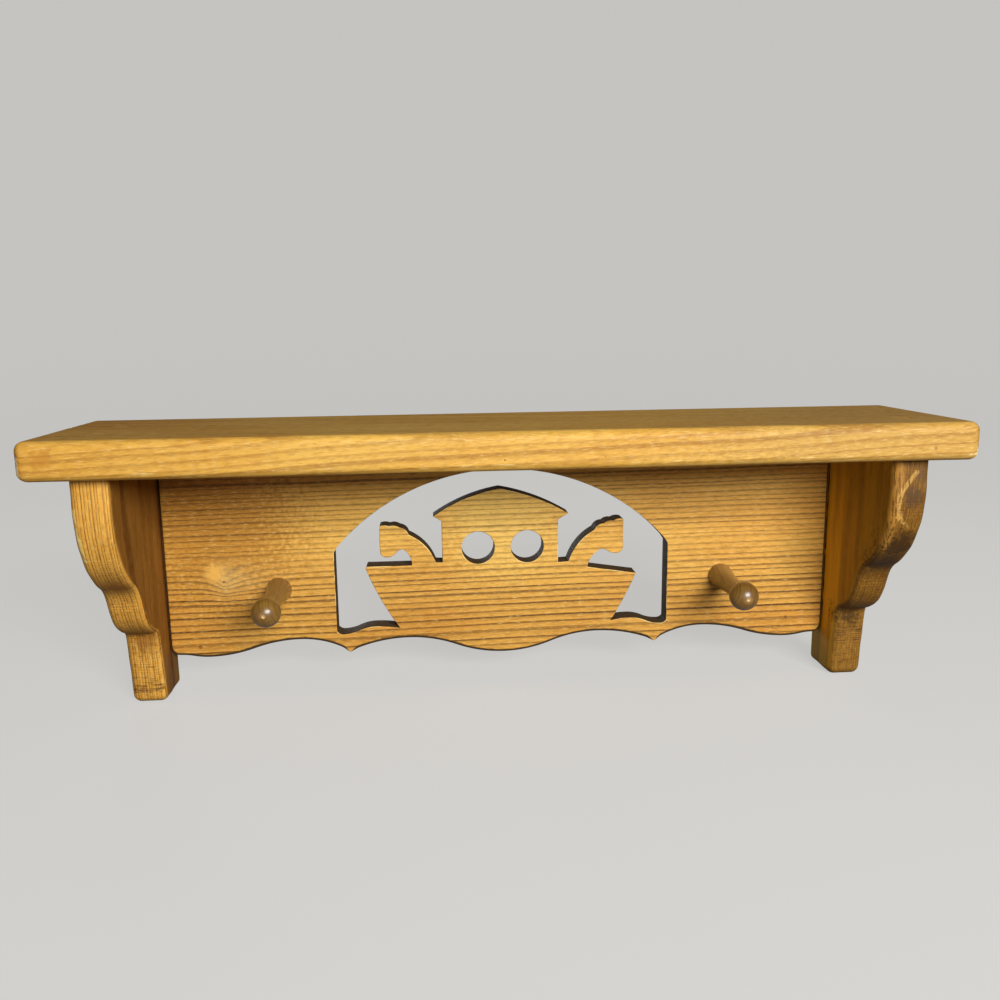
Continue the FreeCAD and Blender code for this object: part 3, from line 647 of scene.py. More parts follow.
def raw_birch(name, along):
    """Unfinished dowel birch: pale, with fine fibres and a dry surface."""
    finish = Finish(name)
    spot = grain_spot(finish, along)
    fibre = finish.noise(spot, (140, 2200), 3, 0.6)
    blotch = finish.noise(spot, (70, 200))
    colour = finish.mix(finish.step(blotch, 0.3, 0.7), stain(226, 200, 158), stain(206, 174, 128))
    colour = finish.mix(finish.step(fibre, 0.35, 0.75, 0.0, 0.4), colour, stain(176, 138, 92))
    roughness = finish.step(fibre, 0.2, 0.8, 0.55, 0.75)
    return finish.settle(colour, roughness, finish.bump(fibre, 0.06 * MM, 0.4))


def zinc_plate(name, tone, stroke):
    """Zinc-plated steel: crystal blotches, fine rolling strokes one way and dull handling marks."""
    finish = Finish(name)
    bloom = finish.noise(finish.spot, (420, 420), 4, 0.6)
    strokes = finish.noise(finish.spot, stroke)
    smudge = finish.noise(finish.spot, (90, 90), 3)
    dull = tuple(level * 0.72 for level in tone)
    colour = finish.mix(finish.step(bloom, 0.3, 0.7), stain(*tone), stain(*dull))
    colour = finish.mix(finish.step(smudge, 0.55, 0.8, 0.0, 0.4), colour, stain(128, 116, 96))
    roughness = finish.step(finish.maths("MULTIPLY_ADD", strokes, 0.6, smudge), 0.4, 1.1, 0.24, 0.52)
    normal = finish.bump(strokes, 0.02 * MM, 0.4)
    return finish.settle(colour, roughness, normal, metallic=1.0)


def plain_stage(name):
    """A plain pale floor.

    Where the camera sees it, most of its paleness is light of its own, and a shine sees less of that. It
    throws light back as a dark grey does, so that the shelf's under side stays in the shade.
    """
    own_light, share_in_shine = 0.68, 0.25
    finish = Finish(name)
    ray = finish.node("ShaderNodeLightPath").outputs
    seen = finish.maths("MAXIMUM", ray["Is Camera Ray"], finish.times(ray["Is Glossy Ray"], share_in_shine))
    finish.shader.inputs["Emission Color"].default_value = stain(226, 225, 222)
    finish.feed(finish.shader.inputs["Emission Strength"], finish.times(seen, own_light))
    finish.material.cycles.emission_sampling = "NONE"
    return finish.settle(finish.mix(seen, stain(64, 63, 62), stain(120, 119, 117)), 0.85, None)


# Pieces


def shelf_board(finish):
    """The board: its edge profile carried along the two ends and the front, closed by flat faces.

    The top holds four blind holes for the plugs. The rounds are uneven by a slow wave, as sanded ones are.
    The wear at the front corners, with a painted highlight, is a bell about each of them that grows towards
    the under side. The lower arris carries wear with a painted highlight line.
    """
    corner_radius, top_round, under_round, uneven = (size * MM for size in (5.2, 4.8, 5.2, 0.2))
    arris, walls = math.radians(18), 12
    worn_edge, worn_glinting_arris, worn_glinting_corner, corner_x, corner_y = 0.1, 0.3, 1.2, 3 * MM, 6 * MM
    half, front, thick = SHELF_HIGH[0], SHELF_LOW[1], SHELF_HIGH[2] - SHELF_LOW[2]
    turn_y, turn_x = front + corner_radius, half - corner_radius
    path, _ = trace([
        (-half, 0.0),
        (-half, turn_y),
        (-turn_x, front, SMOOTH),
        (turn_x, front),
        (half, turn_y, SMOOTH),
        (half, 0.0),
    ], 0.9 * MM, closed=False)
    way = way_along(path)
    top = top_round - uneven * (1 - slow_wave(way, (0.061, 0.147, 0.33), 3))
    under = under_round - uneven * (1 - slow_wave(way, (0.043, 0.19), 5))
    inset, height, wear, _ = edge_rows(thick, top, under, HAIR, walls, arris)
    grid = carry(path, False, inset, height)
    # Pale bells at the front corners and a line on the lower arris: wear with painted highlight.
    corner = np.exp(-((np.abs(path[:, 0]) - half) / corner_x) ** 2 - ((path[:, 1] - front) / corner_y) ** 2)
    low_wear_and_glint = worn_glinting_corner * np.linspace(0, 1, len(wear)) ** 2
    along_edge = worn_edge * wear
    along_edge[1 + ROUND_POINTS + walls] = worn_glinting_arris
    rub_and_glint = along_edge * (1 + slow_wave(way, (0.021, 0.08), 9))[:, None] + corner[:, None] * low_wear_and_glint
    board = TOP.lifted(SHELF_LOW[2])
    skin = Skin()
    skin.band(board, grid, False, rub_and_glint)
    holes = [round_hole((low + high)[:2] / 2, (high - low)[0] / 2 + GLUE_GAP)
             for low, high in PLUG_BOX.values()]
    skin.caps(board, [grid], thick, holes)
    for hole in holes:
        skin.pocket(board, hole, thick, thick - PLUG_BORE)
    back = np.concatenate([grid[0], grid[-1][::-1]])
    skin.face(WALL, [back[:, [2, 0]] + (SHELF_LOW[2], 0.0)], 0.0, True)
    make_piece("rounded_shelf", skin, finish, "shelf_pine", "shelf_board")


def round_hole(middle, radius, count=48):
    """A circle walked clockwise, so that the wood round it lies on the left."""
    turn = -2 * np.pi * np.arange(count) / count
    return np.asarray(middle) + radius * np.stack([np.cos(turn), np.sin(turn)], 1)


# The fretwork in millimetres: out from the centre line, up from the jamb's foot, and the bow of the side.
ARCH_HALF, ARCH_HEIGHT, SILL_Z = 97, 95, -55
WATER = [(97, 1.7), (93, 0, 0.6), (84.3, 2, 0.46), (75.5, 4, -0.46)]
LEFT_BOAT = WATER + [
    (60.8, 2.7, -0.4), (79.3, 38.6, -1.2), (78.6, 40), (52.8, 40), (57.4, 49.6, 1.4),
    (61.8, 47.4, 0.58), (66.3, 45.2, -0.58), (70.5, 47.4, -0.8), (70.4, 63.6, -0.3), (65, 63.5, -0.5),
    (59, 62.6, -0.7), (54, 58.2, -1), (38.8, 41.4, -2.3), (35, 41.2), (35, 65.5),
    (39.8, 68.5),
]
RIGHT_BOAT = WATER + [
    (63.6, 2.7, -0.4), (78.4, 31.3, -0.7), (49.5, 35.9), (57.5, 46.4, 1.5), (61.8, 45, 0.36),
    (66, 43.6, -0.36), (70.6, 46.7, -1), (70.6, 63.8), (64.6, 63.2, -0.7), (59.2, 61.7, -0.7),
    (53.6, 58, -1), (38.4, 39.6, -2.3), (32.3, 39.3), (32.3, 64.6),
    (38.3, 68.2),
]
RIDGE = (-1.5, 83.7, -2)
ROOF_BOW = -2.3
WINDOW_OUT, WINDOW_UP, WINDOW_RADIUS = 14.25, 49.3, 9.525
SPRING_OUT, SPRING_UP, JAMB_TOP = 95, 52, 49


def in_metres(x, y, bow=STRAIGHT):
    return x * MM, y * MM, bow if bow in (STRAIGHT, SMOOTH) else bow * MM


def stencil(out, up, bow=STRAIGHT, sign=1):
    """A fretwork corner in metres, in the panel's plane."""
    return in_metres(sign * out, SILL_Z + up, bow)


def backwards(corners, last_bow):
    """The same corners walked the other way, with last_bow on the side that arrives at the first of them."""
    bows = [last_bow] + [bow_of(corner) for corner in corners[:0:-1]]
    return [(*corner[:2], bow) for corner, bow in zip(corners[::-1], bows)]


def fretwork_corners():
    """The opening: up the left jamb, over the arch, down the right jamb and back along the boat."""
    arch = [
        stencil(ARCH_HALF, JAMB_TOP, sign=-1),
        stencil(SPRING_OUT, SPRING_UP, sign=-1),
        stencil(SPRING_OUT, SPRING_UP, ARCH_HEIGHT - SPRING_UP),
        stencil(ARCH_HALF, JAMB_TOP),
    ]
    right = [stencil(*corner) for corner in RIGHT_BOAT]
    left = [stencil(*corner, sign=-1) for corner in backwards(LEFT_BOAT, ROOF_BOW)]
    return arch + right + [stencil(*RIDGE)] + left


# Turning points of the panel's lower edge in millimetres, from its middle to its right end.
APRON = [(0, -69.6), (56, -59), (90, -66), (118.5, -57.7), (171, -66.4), (192.2, -64.6)]
APRON_CORNER = 4.0


def level_bow(start, end, turns):
    """How far an arc that starts level stands off its chord: half the chord by the tangent of half its slope.

    With two turns, an arc takes half of the chord, as in an S.
    """
    run, fall = abs(end[0] - start[0]), abs(end[1] - start[1])
    length = math.hypot(run, fall)
    return length * (length - run) / (2 * turns * fall)


def swing_between(start, end, sign):
    """An S from one level stretch to the next: two equal arcs that bow to opposite sides."""
    rise = sign * level_bow(start, end, 2)
    return [((start[0] + end[0]) / 2, (start[1] + end[1]) / 2, rise), (*end, -rise)]


def apron_corners():
    """The panel's outline in metres: along the waved lower edge from left to right, then over the top."""
    middle, inner, cusp, crest, belly, end = APRON
    right = swing_between(middle, inner, -1)
    right.append((*cusp, level_bow(inner, cusp, 1)))
    right.append((*crest, level_bow(crest, cusp, 1)))
    right += swing_between(crest, belly, 1) + swing_between(belly, (end[0] - APRON_CORNER, end[1]), -1)
    right.append((end[0], end[1] + APRON_CORNER, (math.sqrt(0.5) - 1) * APRON_CORNER))
    left = backwards([(-x, z, bow) for x, z, bow in right], STRAIGHT)
    lower = [in_metres(*corner) for corner in left + [(*middle, right[0][2])] + right]
    return lower + [(PANEL_HIGH[0], PANEL_HIGH[2]), (PANEL_LOW[0], PANEL_HIGH[2])]


def back_panel(finish):
    """The fretwork panel: an eased edge carried round its outline, the opening and the windows.

    The outline's rounds are largest along the waved lower edge and smallest where the shelf covers them.
    """
    thick = PANEL_HIGH[1] - PANEL_LOW[1]
    ease, lower_ease, end_ease, saw_ease = (size * MM for size in (0.35, 2.2, 1.2, 0.5))
    # The lower edge's round takes the dark sawn tone: darker stain there, and painted shade where the round
    # turns down.
    lower_stain_and_shade, end_saw, fret_saw = 8.0, 3.0, 0.9
    corners = apron_corners()
    rim, owner = trace(corners, 0.7 * MM)
    lower = (owner > 0) & (owner < len(corners) - 2)
    ends = np.isin(owner, (0, len(corners) - 2))
    lower, ends = sanded(np.column_stack([lower, ends]).astype(float), 2.0).T
    rounds = (ease + lower_ease * lower + end_ease * ends) * tip_room(rim, 5 * MM)
    loops = [(sanded(rim, 1.0), rounds, 0.0, lower_stain_and_shade * lower + end_saw * ends)]
    opening, _ = trace(fretwork_corners(), 0.5 * MM)
    loops.append((opening, saw_ease * tip_room(opening, 2.4 * MM), 1.0, np.full(len(opening), fret_saw)))
    for sign in SIDES.values():
        window = round_hole(stencil(WINDOW_OUT, WINDOW_UP, sign=sign)[:2], WINDOW_RADIUS * MM, 96)
        loops.append((window, np.full(len(window), saw_ease), 1.0, np.full(len(window), fret_saw)))
    skin = Skin()
    grids, holes = [], []
    for number, (loop, rounds, wear_and_glint, sawn) in enumerate(loops):
        support = np.minimum(0.3 * rounds, HAIR)
        under = 0.6 * np.minimum(rounds, saw_ease)
        inset, height, wear, wall = edge_rows(thick, rounds, under, support, walls=2)
        grid = carry(loop, True, inset, height)
        lively = 0.75 + 0.5 * slow_wave(way_along(loop), (0.013, 0.031, 0.09), 20 + number)
        # The pale mark along the opening's and the windows' edges is wear with a painted highlight on the
        # eased arris.
        skin.band(FRONT, grid, True, 0.8 * wear * (wear_and_glint * lively)[:, None], wall * sawn[:, None])
        grids.append(grid)
    for low, high in PEG_BOX.values():
        hole = round_hole((low + high)[[0, 2]] / 2, TENON_RADIUS + GLUE_GAP)
        skin.pocket(FRONT, hole, thick, thick - TENON_BORE)
        holes.append(hole)
    skin.caps(FRONT, grids, thick, holes)
    make_piece("fretwork_panel", skin, finish, "panel_pine", "back_panel")


# The bracket's profile in millimetres, wall at 0, measured down from the shelf.
SCROLL = [
    (-88, 0), (-88, -18), (-64.5, -61, SMOOTH), (-54, -75, SMOOTH), (-27, -96, SMOOTH),
]
COVE, TOE, LEG_TOP, LEG_FRONT, LEG_FOOT = 6, 4.5, -30.8, -27, -138.4


def scroll_path(top_z, spacing):
    """The bracket's front, from the shelf down to the wall, with the cove and the toe rounded.

    The lobe's circle runs through three points of the profile's last arc. The cove's centre is its radius in
    front of the leg's top, and its radius plus the lobe's from the lobe's centre. The leg tapers a little
    towards its foot.
    """
    whole = [in_metres(*corner) for corner in SCROLL]
    drawn, _ = trace(whole, spacing, closed=False)
    lobe = circle_through(*drawn[[-9, -4, -1]])
    reach = math.hypot(*(drawn[-1] - lobe)) + COVE * MM
    cove_y = (LEG_TOP - COVE) * MM
    cove = np.array([cove_y, lobe[1] - math.sqrt(reach ** 2 - (cove_y - lobe[0]) ** 2)])
    touch = lobe + (cove - lobe) * (reach - COVE * MM) / reach
    corners = whole[:-1] + [
        (*touch, SMOOTH),
        (LEG_TOP * MM, cove[1], SMOOTH),
        (LEG_FRONT * MM, (LEG_FOOT + TOE) * MM),
        ((LEG_FRONT + TOE) * MM, LEG_FOOT * MM, SMOOTH),
        (0.0, LEG_FOOT * MM),
    ]
    return trace(corners, spacing, closed=False)[0] + (0.0, top_z)


def circle_through(a, b, c):
    """The centre of the circle through three points: where two bisectors of its chords meet."""
    sides = 2 * np.array([b - a, c - a])
    squares = np.array([b @ b - a @ a, c @ c - a @ a])
    return np.linalg.solve(sides, squares)


def saw_ripple(way, pitch, seed):
    """Ridges of a band saw: the absolute sine of the way over the pitch, with a wandering phase and depth."""
    phase = way / pitch + 0.8 * slow_wave(way, (0.011, 0.027, 0.06), seed)
    depth = 0.55 + 0.45 * slow_wave(way, (0.007, 0.019, 0.041), seed + 1)
    return np.abs(np.sin(np.pi * phase)) * np.clip(depth, 0.1, 1.0)


def bracket(side, finish, pitch, bites, seed):
    """A scroll bracket: a rounded edge with saw ripples carried down its front, closed by flat faces.

    bites are (height, reach, depth): there the saw cut deeper, by a bell of that reach about the height. The
    grooves fade towards the two cheeks and hold dark stain.
    """
    round_size, round_swing, groove_depth = (size * MM for size in (4.2, 0.3, 0.16))
    everywhere, stain_share, worn_edge = 0.3, 0.6, 0.25
    low, high = BRACKET_BOX[side]
    thick = high[0] - low[0]
    path = scroll_path(high[2], 0.22 * MM)
    way = way_along(path)
    round_over = round_size + round_swing * slow_wave(way, (0.017, 0.05), seed + 2)
    inset, height, wear, wall = edge_rows(thick, round_over, round_over, HAIR, walls=5)
    middle, reach, depth = np.array(bites).T
    bite = everywhere + (depth * np.exp(-((path[:, 1:] - middle) / reach) ** 2)).sum(1)
    groove = (bite * (1 - saw_ripple(way, pitch, seed)))[:, None]
    front = np.clip(1.35 - 1.2 * np.linspace(-1, 1, inset.shape[1]) ** 2, 0, 1) * (wall > 0.3)
    grid = carry(path, False, inset + groove_depth * groove * front, height)
    lively = 0.75 + 0.5 * slow_wave(way, (0.009, 0.023, 0.07), seed + 4)
    rub_and_glint = worn_edge * (wear + 0.5 * wear[::-1]) * lively[:, None]
    skin = Skin()
    cheek = END.lifted(low[0])
    skin.band(cheek, grid, False, rub_and_glint, stain_share * groove * front)
    corner = np.zeros_like(grid[:1]) + (0.0, high[2], 0.0)
    skin.caps(cheek, [np.concatenate([grid, corner])], thick)
    seat = np.concatenate([grid[0][:, [2, 0]], [(0.0, 0.0), (thick, 0.0)]]) + (low[0], 0.0)
    skin.face(TOP.lifted(high[2]), [seat], 0.0, True)
    rear = np.concatenate([grid[-1][:, [1, 2]], [(high[2], 0.0), (high[2], thick)]]) + (0.0, low[0])
    (plate_x, deep, plate_z), plate_high = PLATE_BOX[side]
    middle_x = (low[0] + high[0]) / 2
    plate_half = (plate_high[0] - plate_x) / 2
    bed = obround(middle_x, plate_z - PLATE_GAP, plate_high[2] + PLATE_GAP, plate_half + PLATE_GAP)[::-1]
    room_half = ENTRY_RADIUS + ROOM_GAP
    room = obround(middle_x, -room_half, SLOT_RISE + room_half, room_half)[::-1]
    pilots = [round_hole((z, middle_x), PIN_RADIUS + GLUE_GAP, 24) for z in pin_heights(side)]
    skin.face(WALL, [rear, bed], 0.0, True)
    skin.pocket(WALL, bed, 0.0, deep, [room, *pilots])
    skin.pocket(WALL, room, deep, deep - ROOM_DEPTH)
    for pilot in pilots:
        skin.pocket(WALL, pilot, deep, -PIN_BORE)
    make_piece(f"{side}_scroll", skin, finish, "bracket_pine", f"{side}_bracket")


def pin_heights(side):
    """Where the hanger plate's two screws stand."""
    low, high = PLATE_BOX[side]
    return low[2] + PIN_INSET, high[2] - PIN_INSET


def obround(middle, low, high, radius):
    """Two half circles joined by straight sides, drawn out along the plane's x and walked anticlockwise."""
    return trace([
        (low + radius, middle + radius),
        (low + radius, middle - radius, -radius),
        (high - radius, middle - radius),
        (high - radius, middle + radius, -radius),
    ], 0.5 * MM)[0]


def turned(skin, plane, middle, profile, rub_and_glint=0.0, cut=0.0, count=72):
    """A profile of (radius, height) points, from its top down, turned about a line that stands on a plane."""
    turn = 2 * np.pi * np.arange(count)[:, None] / count
    radius, height = profile.T
    grid = np.empty((count, len(profile), 3))
    grid[..., 0] = middle[0] + radius * np.cos(turn)
    grid[..., 1] = middle[1] + radius * np.sin(turn)
    grid[..., 2] = height
    skin.band(plane, grid, True, rub_and_glint, cut)


def turned_peg(side, finish, seed):
    """A peg turned from its tip down: ball with the lathe's dimple, neck, hollow taper, foot and tenon.

    The radius carries faint tool rings, a sine of the height whose depth comes and goes along the shaft.
    """
    low, high = PEG_BOX[side]
    ball, reach, foot, neck, fillet = (size * MM for size in (7.95, 42.5, 7.4, 4.4, 1.2))
    dimple, dimple_depth, chamfer, hollow = (size * MM for size in (0.9, 0.5, 0.8, 0.5))
    ring_pitch, ring_depth = 1.3 * MM, 0.018 * MM
    tip = reach + math.sqrt(ball ** 2 - dimple ** 2)
    neck_up = reach - math.sqrt((ball + fillet) ** 2 - (neck + fillet) ** 2)
    top_turn = math.acos(dimple / ball)
    low_turn = -math.atan2(reach - neck_up, neck + fillet)
    touch = (ball * math.cos(low_turn), reach + ball * math.sin(low_turn))
    profile, owner = trace([
        (0.0, tip - dimple_depth),
        (dimple, tip, -0.1 * MM),
        (*touch, ball * (1 - math.cos((top_turn - low_turn) / 2))),
        (neck, neck_up, SMOOTH),
        (foot, 0.0, -hollow),
        (TENON_RADIUS, 0.0),
        (TENON_RADIUS, chamfer - TENON_LENGTH),
        (TENON_RADIUS - chamfer, -TENON_LENGTH),
        (0.0, -TENON_LENGTH),
    ], 0.3 * MM, closed=False)
    shaft = np.isin(owner, (2, 4))
    rings = np.sin(2 * np.pi * profile[:, 1] / ring_pitch) * slow_wave(profile[:, 1], (0.009, 0.017), seed)
    profile[:, 0] += np.where(shaft, ring_depth * (rings - 1), 0.0)
    # The tip's ring and the lathe dimple carry the marks that the finish paints pale as a highlight.
    edge = np.exp(-((profile[:, 1] - tip) / (0.4 * MM)) ** 2)
    skin = Skin()
    turned(skin, FRONT, (low + high)[[0, 2]] / 2, profile - (0.0, PANEL_LOW[1]), 0.5 * edge, owner == 1)
    make_piece(f"{side}_turned_peg", skin, finish, "peg_birch", f"{side}_peg")


def plug(name, finish):
    """A plug turned from its flush top down: eased rim, straight side and chamfered foot."""
    low, high = PLUG_BOX[name]
    radius, ease, chamfer = (high - low)[0] / 2, 0.15 * MM, 0.8 * MM
    profile, _ = trace([
        (0.0, high[2]),
        (radius - ease, high[2]),
        (radius, high[2] - ease, SMOOTH),
        (radius, low[2] + chamfer),
        (radius - chamfer, low[2]),
        (0.0, low[2]),
    ], 0.6 * MM, closed=False)
    skin = Skin()
    turned(skin, TOP, (low + high)[:2] / 2, profile, count=48)
    make_piece(f"{name}_cut", skin, finish, "plug_pine", name)


def hanger_plate(side, finish):
    """A stamped hanger plate: eased rim, keyhole with a rolled edge and two countersunk holes."""
    low, high = PLATE_BOX[side]
    thick = high[1] - low[1]
    middle = (low[0] + high[0]) / 2
    plane = WALL.lifted(low[1])
    shoulder = math.sqrt(ENTRY_RADIUS ** 2 - SLOT_RADIUS ** 2)
    keyhole, _ = trace([
        (shoulder, middle - SLOT_RADIUS, -ENTRY_RADIUS - shoulder),
        (SLOT_RISE, middle - SLOT_RADIUS),
        (SLOT_RISE, middle + SLOT_RADIUS, -SLOT_RADIUS),
        (shoulder, middle + SLOT_RADIUS),
    ], 0.4 * MM)
    rim = obround(middle, low[2], high[2], (high[0] - low[0]) / 2)
    skin = Skin()
    grids = []
    for loop, ease in ((rim, 0.35 * MM), (keyhole[::-1], 0.25 * MM)):
        size = np.full(len(loop), ease)
        inset, height, wear, _ = edge_rows(thick, size, size / 2, 0.1 * MM)
        grids.append(carry(loop, True, inset, height))
        skin.band(plane, grids[-1], True, wear)
    land = 0.2 * MM
    for z in pin_heights(side):
        hole = round_hole((z, middle), PIN_RADIUS + GLUE_GAP)
        level = np.ones((len(hole), 1))
        grids.append(carry(hole, True, level * [thick - land, 0.0, 0.0], level * [thick, land, 0.0]))
        skin.band(plane, grids[-1], True)
    skin.caps(plane, grids, thick)
    make_piece(f"{side}_stamped_hanger", skin, finish, "hanger_steel", f"{side}_keyhole_plate")


def scuff_and_glint_line(places, widths, tone, strength):
    """Scuff, dark joint and painted highlight lines from each place to the next, one for each width."""
    return [(ends, width, tone, strength) for *ends, width in zip(places, places[1:], widths)]


def dress(names, finish):
    """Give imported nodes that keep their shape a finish."""
    for name in names:
        for slot in bpy.data.objects[name].material_slots:
            slot.material = finish


# Each piece with its own finish


shelf_board(stained_pine(
    "honey_pine_shelf", "X", (0.06, -0.09), 3.0 * MM,
    Honey((238, 186, 84), (136, 76, 14), (224, 160, 56), (252, 220, 146)),
    wander=3 * MM, contrast=0.75, slope=0.05, heart=("X", -0.08, -0.3), figure=0.22,
    # Painted shade: a broad darker dab over the shelf's right end, where the lamp falls brightest.
    shade_and_light_dabs=[((0.21, -0.1, 0.06), 170, (204, 158, 78), 0.7)],
    # Near-white lines on the lower front corners: painted highlights on corners with wear.
    scuffs_and_glints=[
        (((-0.2285, -0.0985, 0.063), (-0.2285, -0.0985, 0.0545)), 1.3, (255, 244, 214), 0.9),
        (((0.2285, -0.0985, 0.0575), (0.2285, -0.0985, 0.0545)), 1.3, (255, 244, 214), 0.9),
    ],
    spots=[
        ((-0.0049, -0.1, 0.0578), 0.6, (96, 50, 14), 0.9),
        ((0.0432, -0.1, 0.0581), 0.5, (120, 70, 22), 0.8),
        ((0.2061, -0.1, 0.0587), 1.2, (120, 76, 26), 0.5),
        ((-0.217, -0.1, 0.0629), 7, (196, 130, 42), 0.6),
    ]))
back_panel(stained_pine(
    "honey_pine_panel", "X", (0.05, -0.3), 3.15 * MM,
    Honey((246, 190, 86), (72, 34, 4), (222, 156, 60), (255, 224, 146)),
    wander=1.4 * MM, contrast=1.0, slope=0.012, tighten=685.0, heart=("Z", -0.005, -0.04),
    knots=[((-0.16, -0.018), (5 * MM, 13 * MM, 9 * MM), 8 * MM)],
    shade_and_light_dabs=[
        # Painted shade: a darker dab over the upper left of the panel, under the shelf.
        ((-0.165, -0.012, 0.012), 70, (186, 120, 26), 0.75),
        # Painted light: a paler dab over the cabin, which lies in the shelf's shade.
        ((0.0, -0.012, 0.01), 46, (255, 210, 106), 0.7),
    ],
    spots=[
        ((-0.1645, -0.012, -0.016), 7.5, (244, 186, 86), 0.85),
        ((-0.1598, -0.012, -0.0213), 1.1, (120, 70, 18), 0.8),
        ((-0.1756, -0.012, -0.0596), 1.6, (130, 70, 20), 0.7),
        ((0.17, -0.012, -0.054), 1.2, (110, 60, 18), 0.8),
    ]))

# Where the saw bit deeper into each bracket, and the looks in which the two differ
BRACKET_BITES = {
    "left": [(-0.022, 0.01, 0.5), (-0.079, 0.005, 0.4), (-0.062, 0.02, 0.5)],
    "right": [(0.026, 0.006, 0.5), (-0.026, 0.008, 0.5), (-0.06, 0.008, 0.8), (-0.075, 0.01, 0.4)],
}
BRACKET_LOOKS = {
    "left": dict(
        tones=Honey((246, 182, 76), (94, 46, 4), (212, 144, 46), (255, 218, 138)),
        contrast=0.95,
        # The cheek tone is painted shade on the faces to the left and right, which the lamp barely reaches.
        cheek=((100, 52, 0), 0.8, 0.8, 0.14),
        # A pale line down the outer roundover: wear with a painted highlight.
        scuffs_and_glints=scuff_and_glint_line(
            [(-0.2096, -0.0872, 0.036), (-0.209, -0.0862, 0.022), (-0.2084, -0.0817, 0.01)],
            (1.4, 1.4), (255, 226, 140), 0.8),
        spots=[
            # Painted shade: a darker dab in the hollow between the two lobes.
            ((-0.2, -0.066, -0.006), 8, (150, 92, 26), 0.7),
            # Painted shade: a darker dab on the leg's top, under the lobe.
            ((-0.2, -0.027, -0.047), 13, (132, 80, 22), 0.7),
        ]),
    "right": dict(
        tones=Honey((160, 112, 36), (58, 30, 2), (130, 86, 22), (200, 150, 68)),
        contrast=0.5,
        heart=("Y", -0.032, -0.034),
        cheek=((250, 194, 44), 0.8, 0.48, 0.5),
        scuffs_and_glints=[
            # Pale lines down the inner roundover of the swell and of the lobe: wear with a painted highlight.
            *scuff_and_glint_line(
                [(0.1943, -0.0875, 0.048), (0.194, -0.0858, 0.022), (0.194, -0.0775, 0.005)],
                (4.5, 4), (206, 146, 60), 0.6),
            *scuff_and_glint_line([(0.194, -0.062, -0.014), (0.194, -0.0555, -0.028)], (4,), (206, 146, 60), 0.6),
            *scuff_and_glint_line(
                [(0.204, -0.088, 0.045), (0.1974, -0.088, 0.036), (0.1957, -0.0877, 0.0305),
                 (0.1977, -0.0858, 0.021)],
                (1.5, 1.6, 1.8), (216, 166, 84), 0.7),
            *scuff_and_glint_line([(0.198, -0.0857, 0.0205), (0.2053, -0.0825, 0.0145)], (1.6,), (216, 166, 84), 0.7),
        ],
        spots=[
            ((0.2035, -0.088, 0.032), 8, (88, 60, 30), 0.85),
            ((0.2025, -0.077, 0.006), 14, (64, 40, 12), 0.9),
            # Painted shade: a darker dab in the hollow between the two lobes.
            ((0.2, -0.066, -0.006), 12, (64, 40, 14), 0.85),
            # Painted shade: a darker dab on the leg's top, under the lobe.
            ((0.2, -0.027, -0.047), 12, (70, 44, 12), 0.85),
            ((0.2075, -0.088, 0.044), 6, (104, 76, 40), 0.8),
        ]),
}
for side, look in BRACKET_LOOKS.items():
    pith = (BRACKET_BOX[side][0][0] + 0.45, -0.044)
    # A dark line down the joint between panel and bracket
    joint = [(SIDES[side] * PANEL_HIGH[0], PANEL_LOW[1] - 0.8 * MM, z) for z in (0.05, -0.06)]
    look["scuffs_and_glints"] = scuff_and_glint_line(joint, (1.4,), (34, 18, 4), 0.9) + look["scuffs_and_glints"]
    pine = stained_pine(
        f"honey_pine_{side}_bracket", "Z", pith, 1.6 * MM, wander=1.2 * MM, sawn_tone=(90, 54, 14), **look)
    bracket(side, pine, 1.5 * MM, BRACKET_BITES[side], 40)
birch = turned_birch("brown_birch_peg")
zinc = zinc_plate("zinc_hanger", (206, 202, 190), (900, 900, 60))
for number, side in enumerate(SIDES):
    turned_peg(side, birch, 60 + number)
    hanger_plate(side, zinc)
plug_pine = stained_pine(
    "honey_pine_plug", "X", (0.05, -0.06), 1.6 * MM,
    Honey((232, 174, 84), (160, 100, 38), (220, 158, 68), (248, 210, 138)),
    wander=1.5 * MM, contrast=0.7)
for name in PLUGS:
    plug(name, plug_pine)
for along, names in DOWELS.items():
    dress(names, raw_birch(f"dowel_birch_{along.lower()}", along))
dress(SCREWS, zinc_plate("zinc_screw", (196, 186, 160), (700, 700)))


# Stage, light and camera


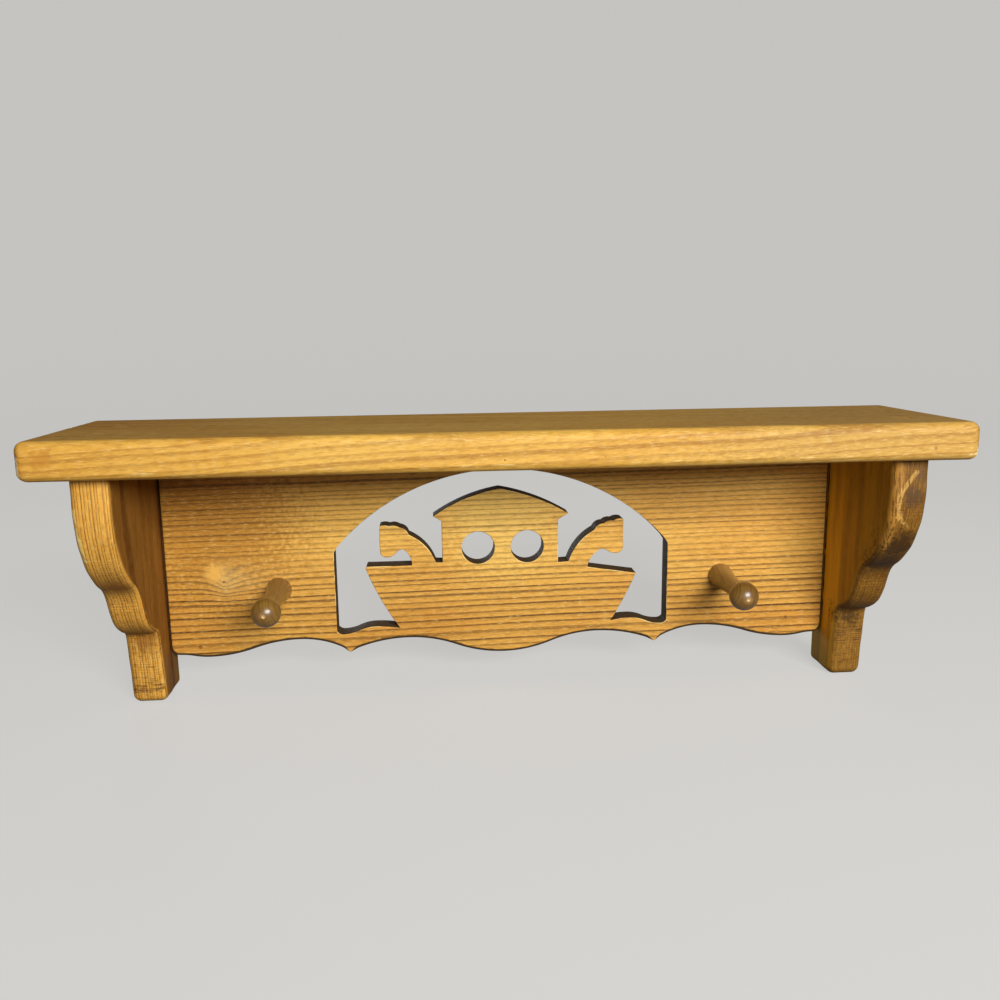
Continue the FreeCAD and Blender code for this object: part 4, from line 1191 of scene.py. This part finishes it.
def round_sweep():
    """A pale floor that sweeps up all round: floor, quarter round and wall as one profile turned about Z.

    The profile runs from the middle of the floor up, so that the sweep faces inwards.
    """
    floor_z = cad_box[0][2] - 0.1 * MM
    bend, radius, top = 1.5, 0.8, 1.4
    turn = np.linspace(0, np.pi / 2, 24)
    curve = np.stack([bend + radius * np.sin(turn), floor_z + radius * (1 - np.cos(turn))], 1)
    profile = np.concatenate([[(0.0, floor_z)], curve, [(bend + radius, top)]])
    skin = Skin()
    turned(skin, TOP, (0.0, 0.0), profile, count=96)
    sweep = make_object("sweep", skin, plain_stage("pale_sweep"))


def soft_light(name, place, size, watts, spread=180):
    """A rectangular lamp aimed at the origin. A narrow spread, in degrees, spares the floor beside it."""
    lamp = bpy.data.lights.new(name, "AREA")
    lamp.shape = "RECTANGLE"
    lamp.size, lamp.size_y = size
    lamp.energy = watts
    lamp.spread = math.radians(spread)
    holder = bpy.data.objects.new(name, lamp)
    holder.location = place
    holder.rotation_euler = (-Vector(place)).to_track_quat("-Z", "Y").to_euler()
    holder.visible_camera = False
    bpy.context.scene.collection.objects.link(holder)


def photo_camera():
    """The photograph's camera: place, yaw to the right, pitch and roll as fitted to the object's edges."""
    place, yaw, pitch, roll = (-0.03795, -0.52793, 0.11944), 4.0725, -10.66, -0.7727
    focal_pixels, frame_pixels = 917.68, 1000
    lens = bpy.data.cameras.new("photo_camera")
    lens.sensor_width = 36.0
    lens.lens = lens.sensor_width * focal_pixels / frame_pixels
    lens.clip_start = 0.01
    camera = bpy.data.objects.new("photo_camera", lens)
    matrix = Matrix.Translation(place)
    for degrees, axis in ((-yaw, "Z"), (90 + pitch, "X"), (roll, "Z")):
        matrix = matrix @ Matrix.Rotation(math.radians(degrees), 4, axis)
    camera.matrix_world = matrix
    bpy.context.scene.collection.objects.link(camera)
    bpy.context.scene.camera = camera


def world_light(strength):
    """An even white light from all round."""
    world = bpy.data.worlds.new("studio")
    world.use_nodes = True
    sky = world.node_tree.nodes["Background"]
    sky.inputs["Color"].default_value = (1.0, 1.0, 1.0, 1.0)
    sky.inputs["Strength"].default_value = strength
    bpy.context.scene.world = world


round_sweep()
soft_light("window", (0.42, -1.3, 0.53), (0.75, 0.46), 24)
soft_light("pale_wall", (-0.5, -1.2, 0.15), (0.8, 0.3), 0.7)
soft_light("low_card", (-0.2, 0.9, 0.0), (1.2, 0.12), 0.22, spread=24)
world_light(0.025)
photo_camera()
bpy.context.scene.view_settings.view_transform = "Standard"
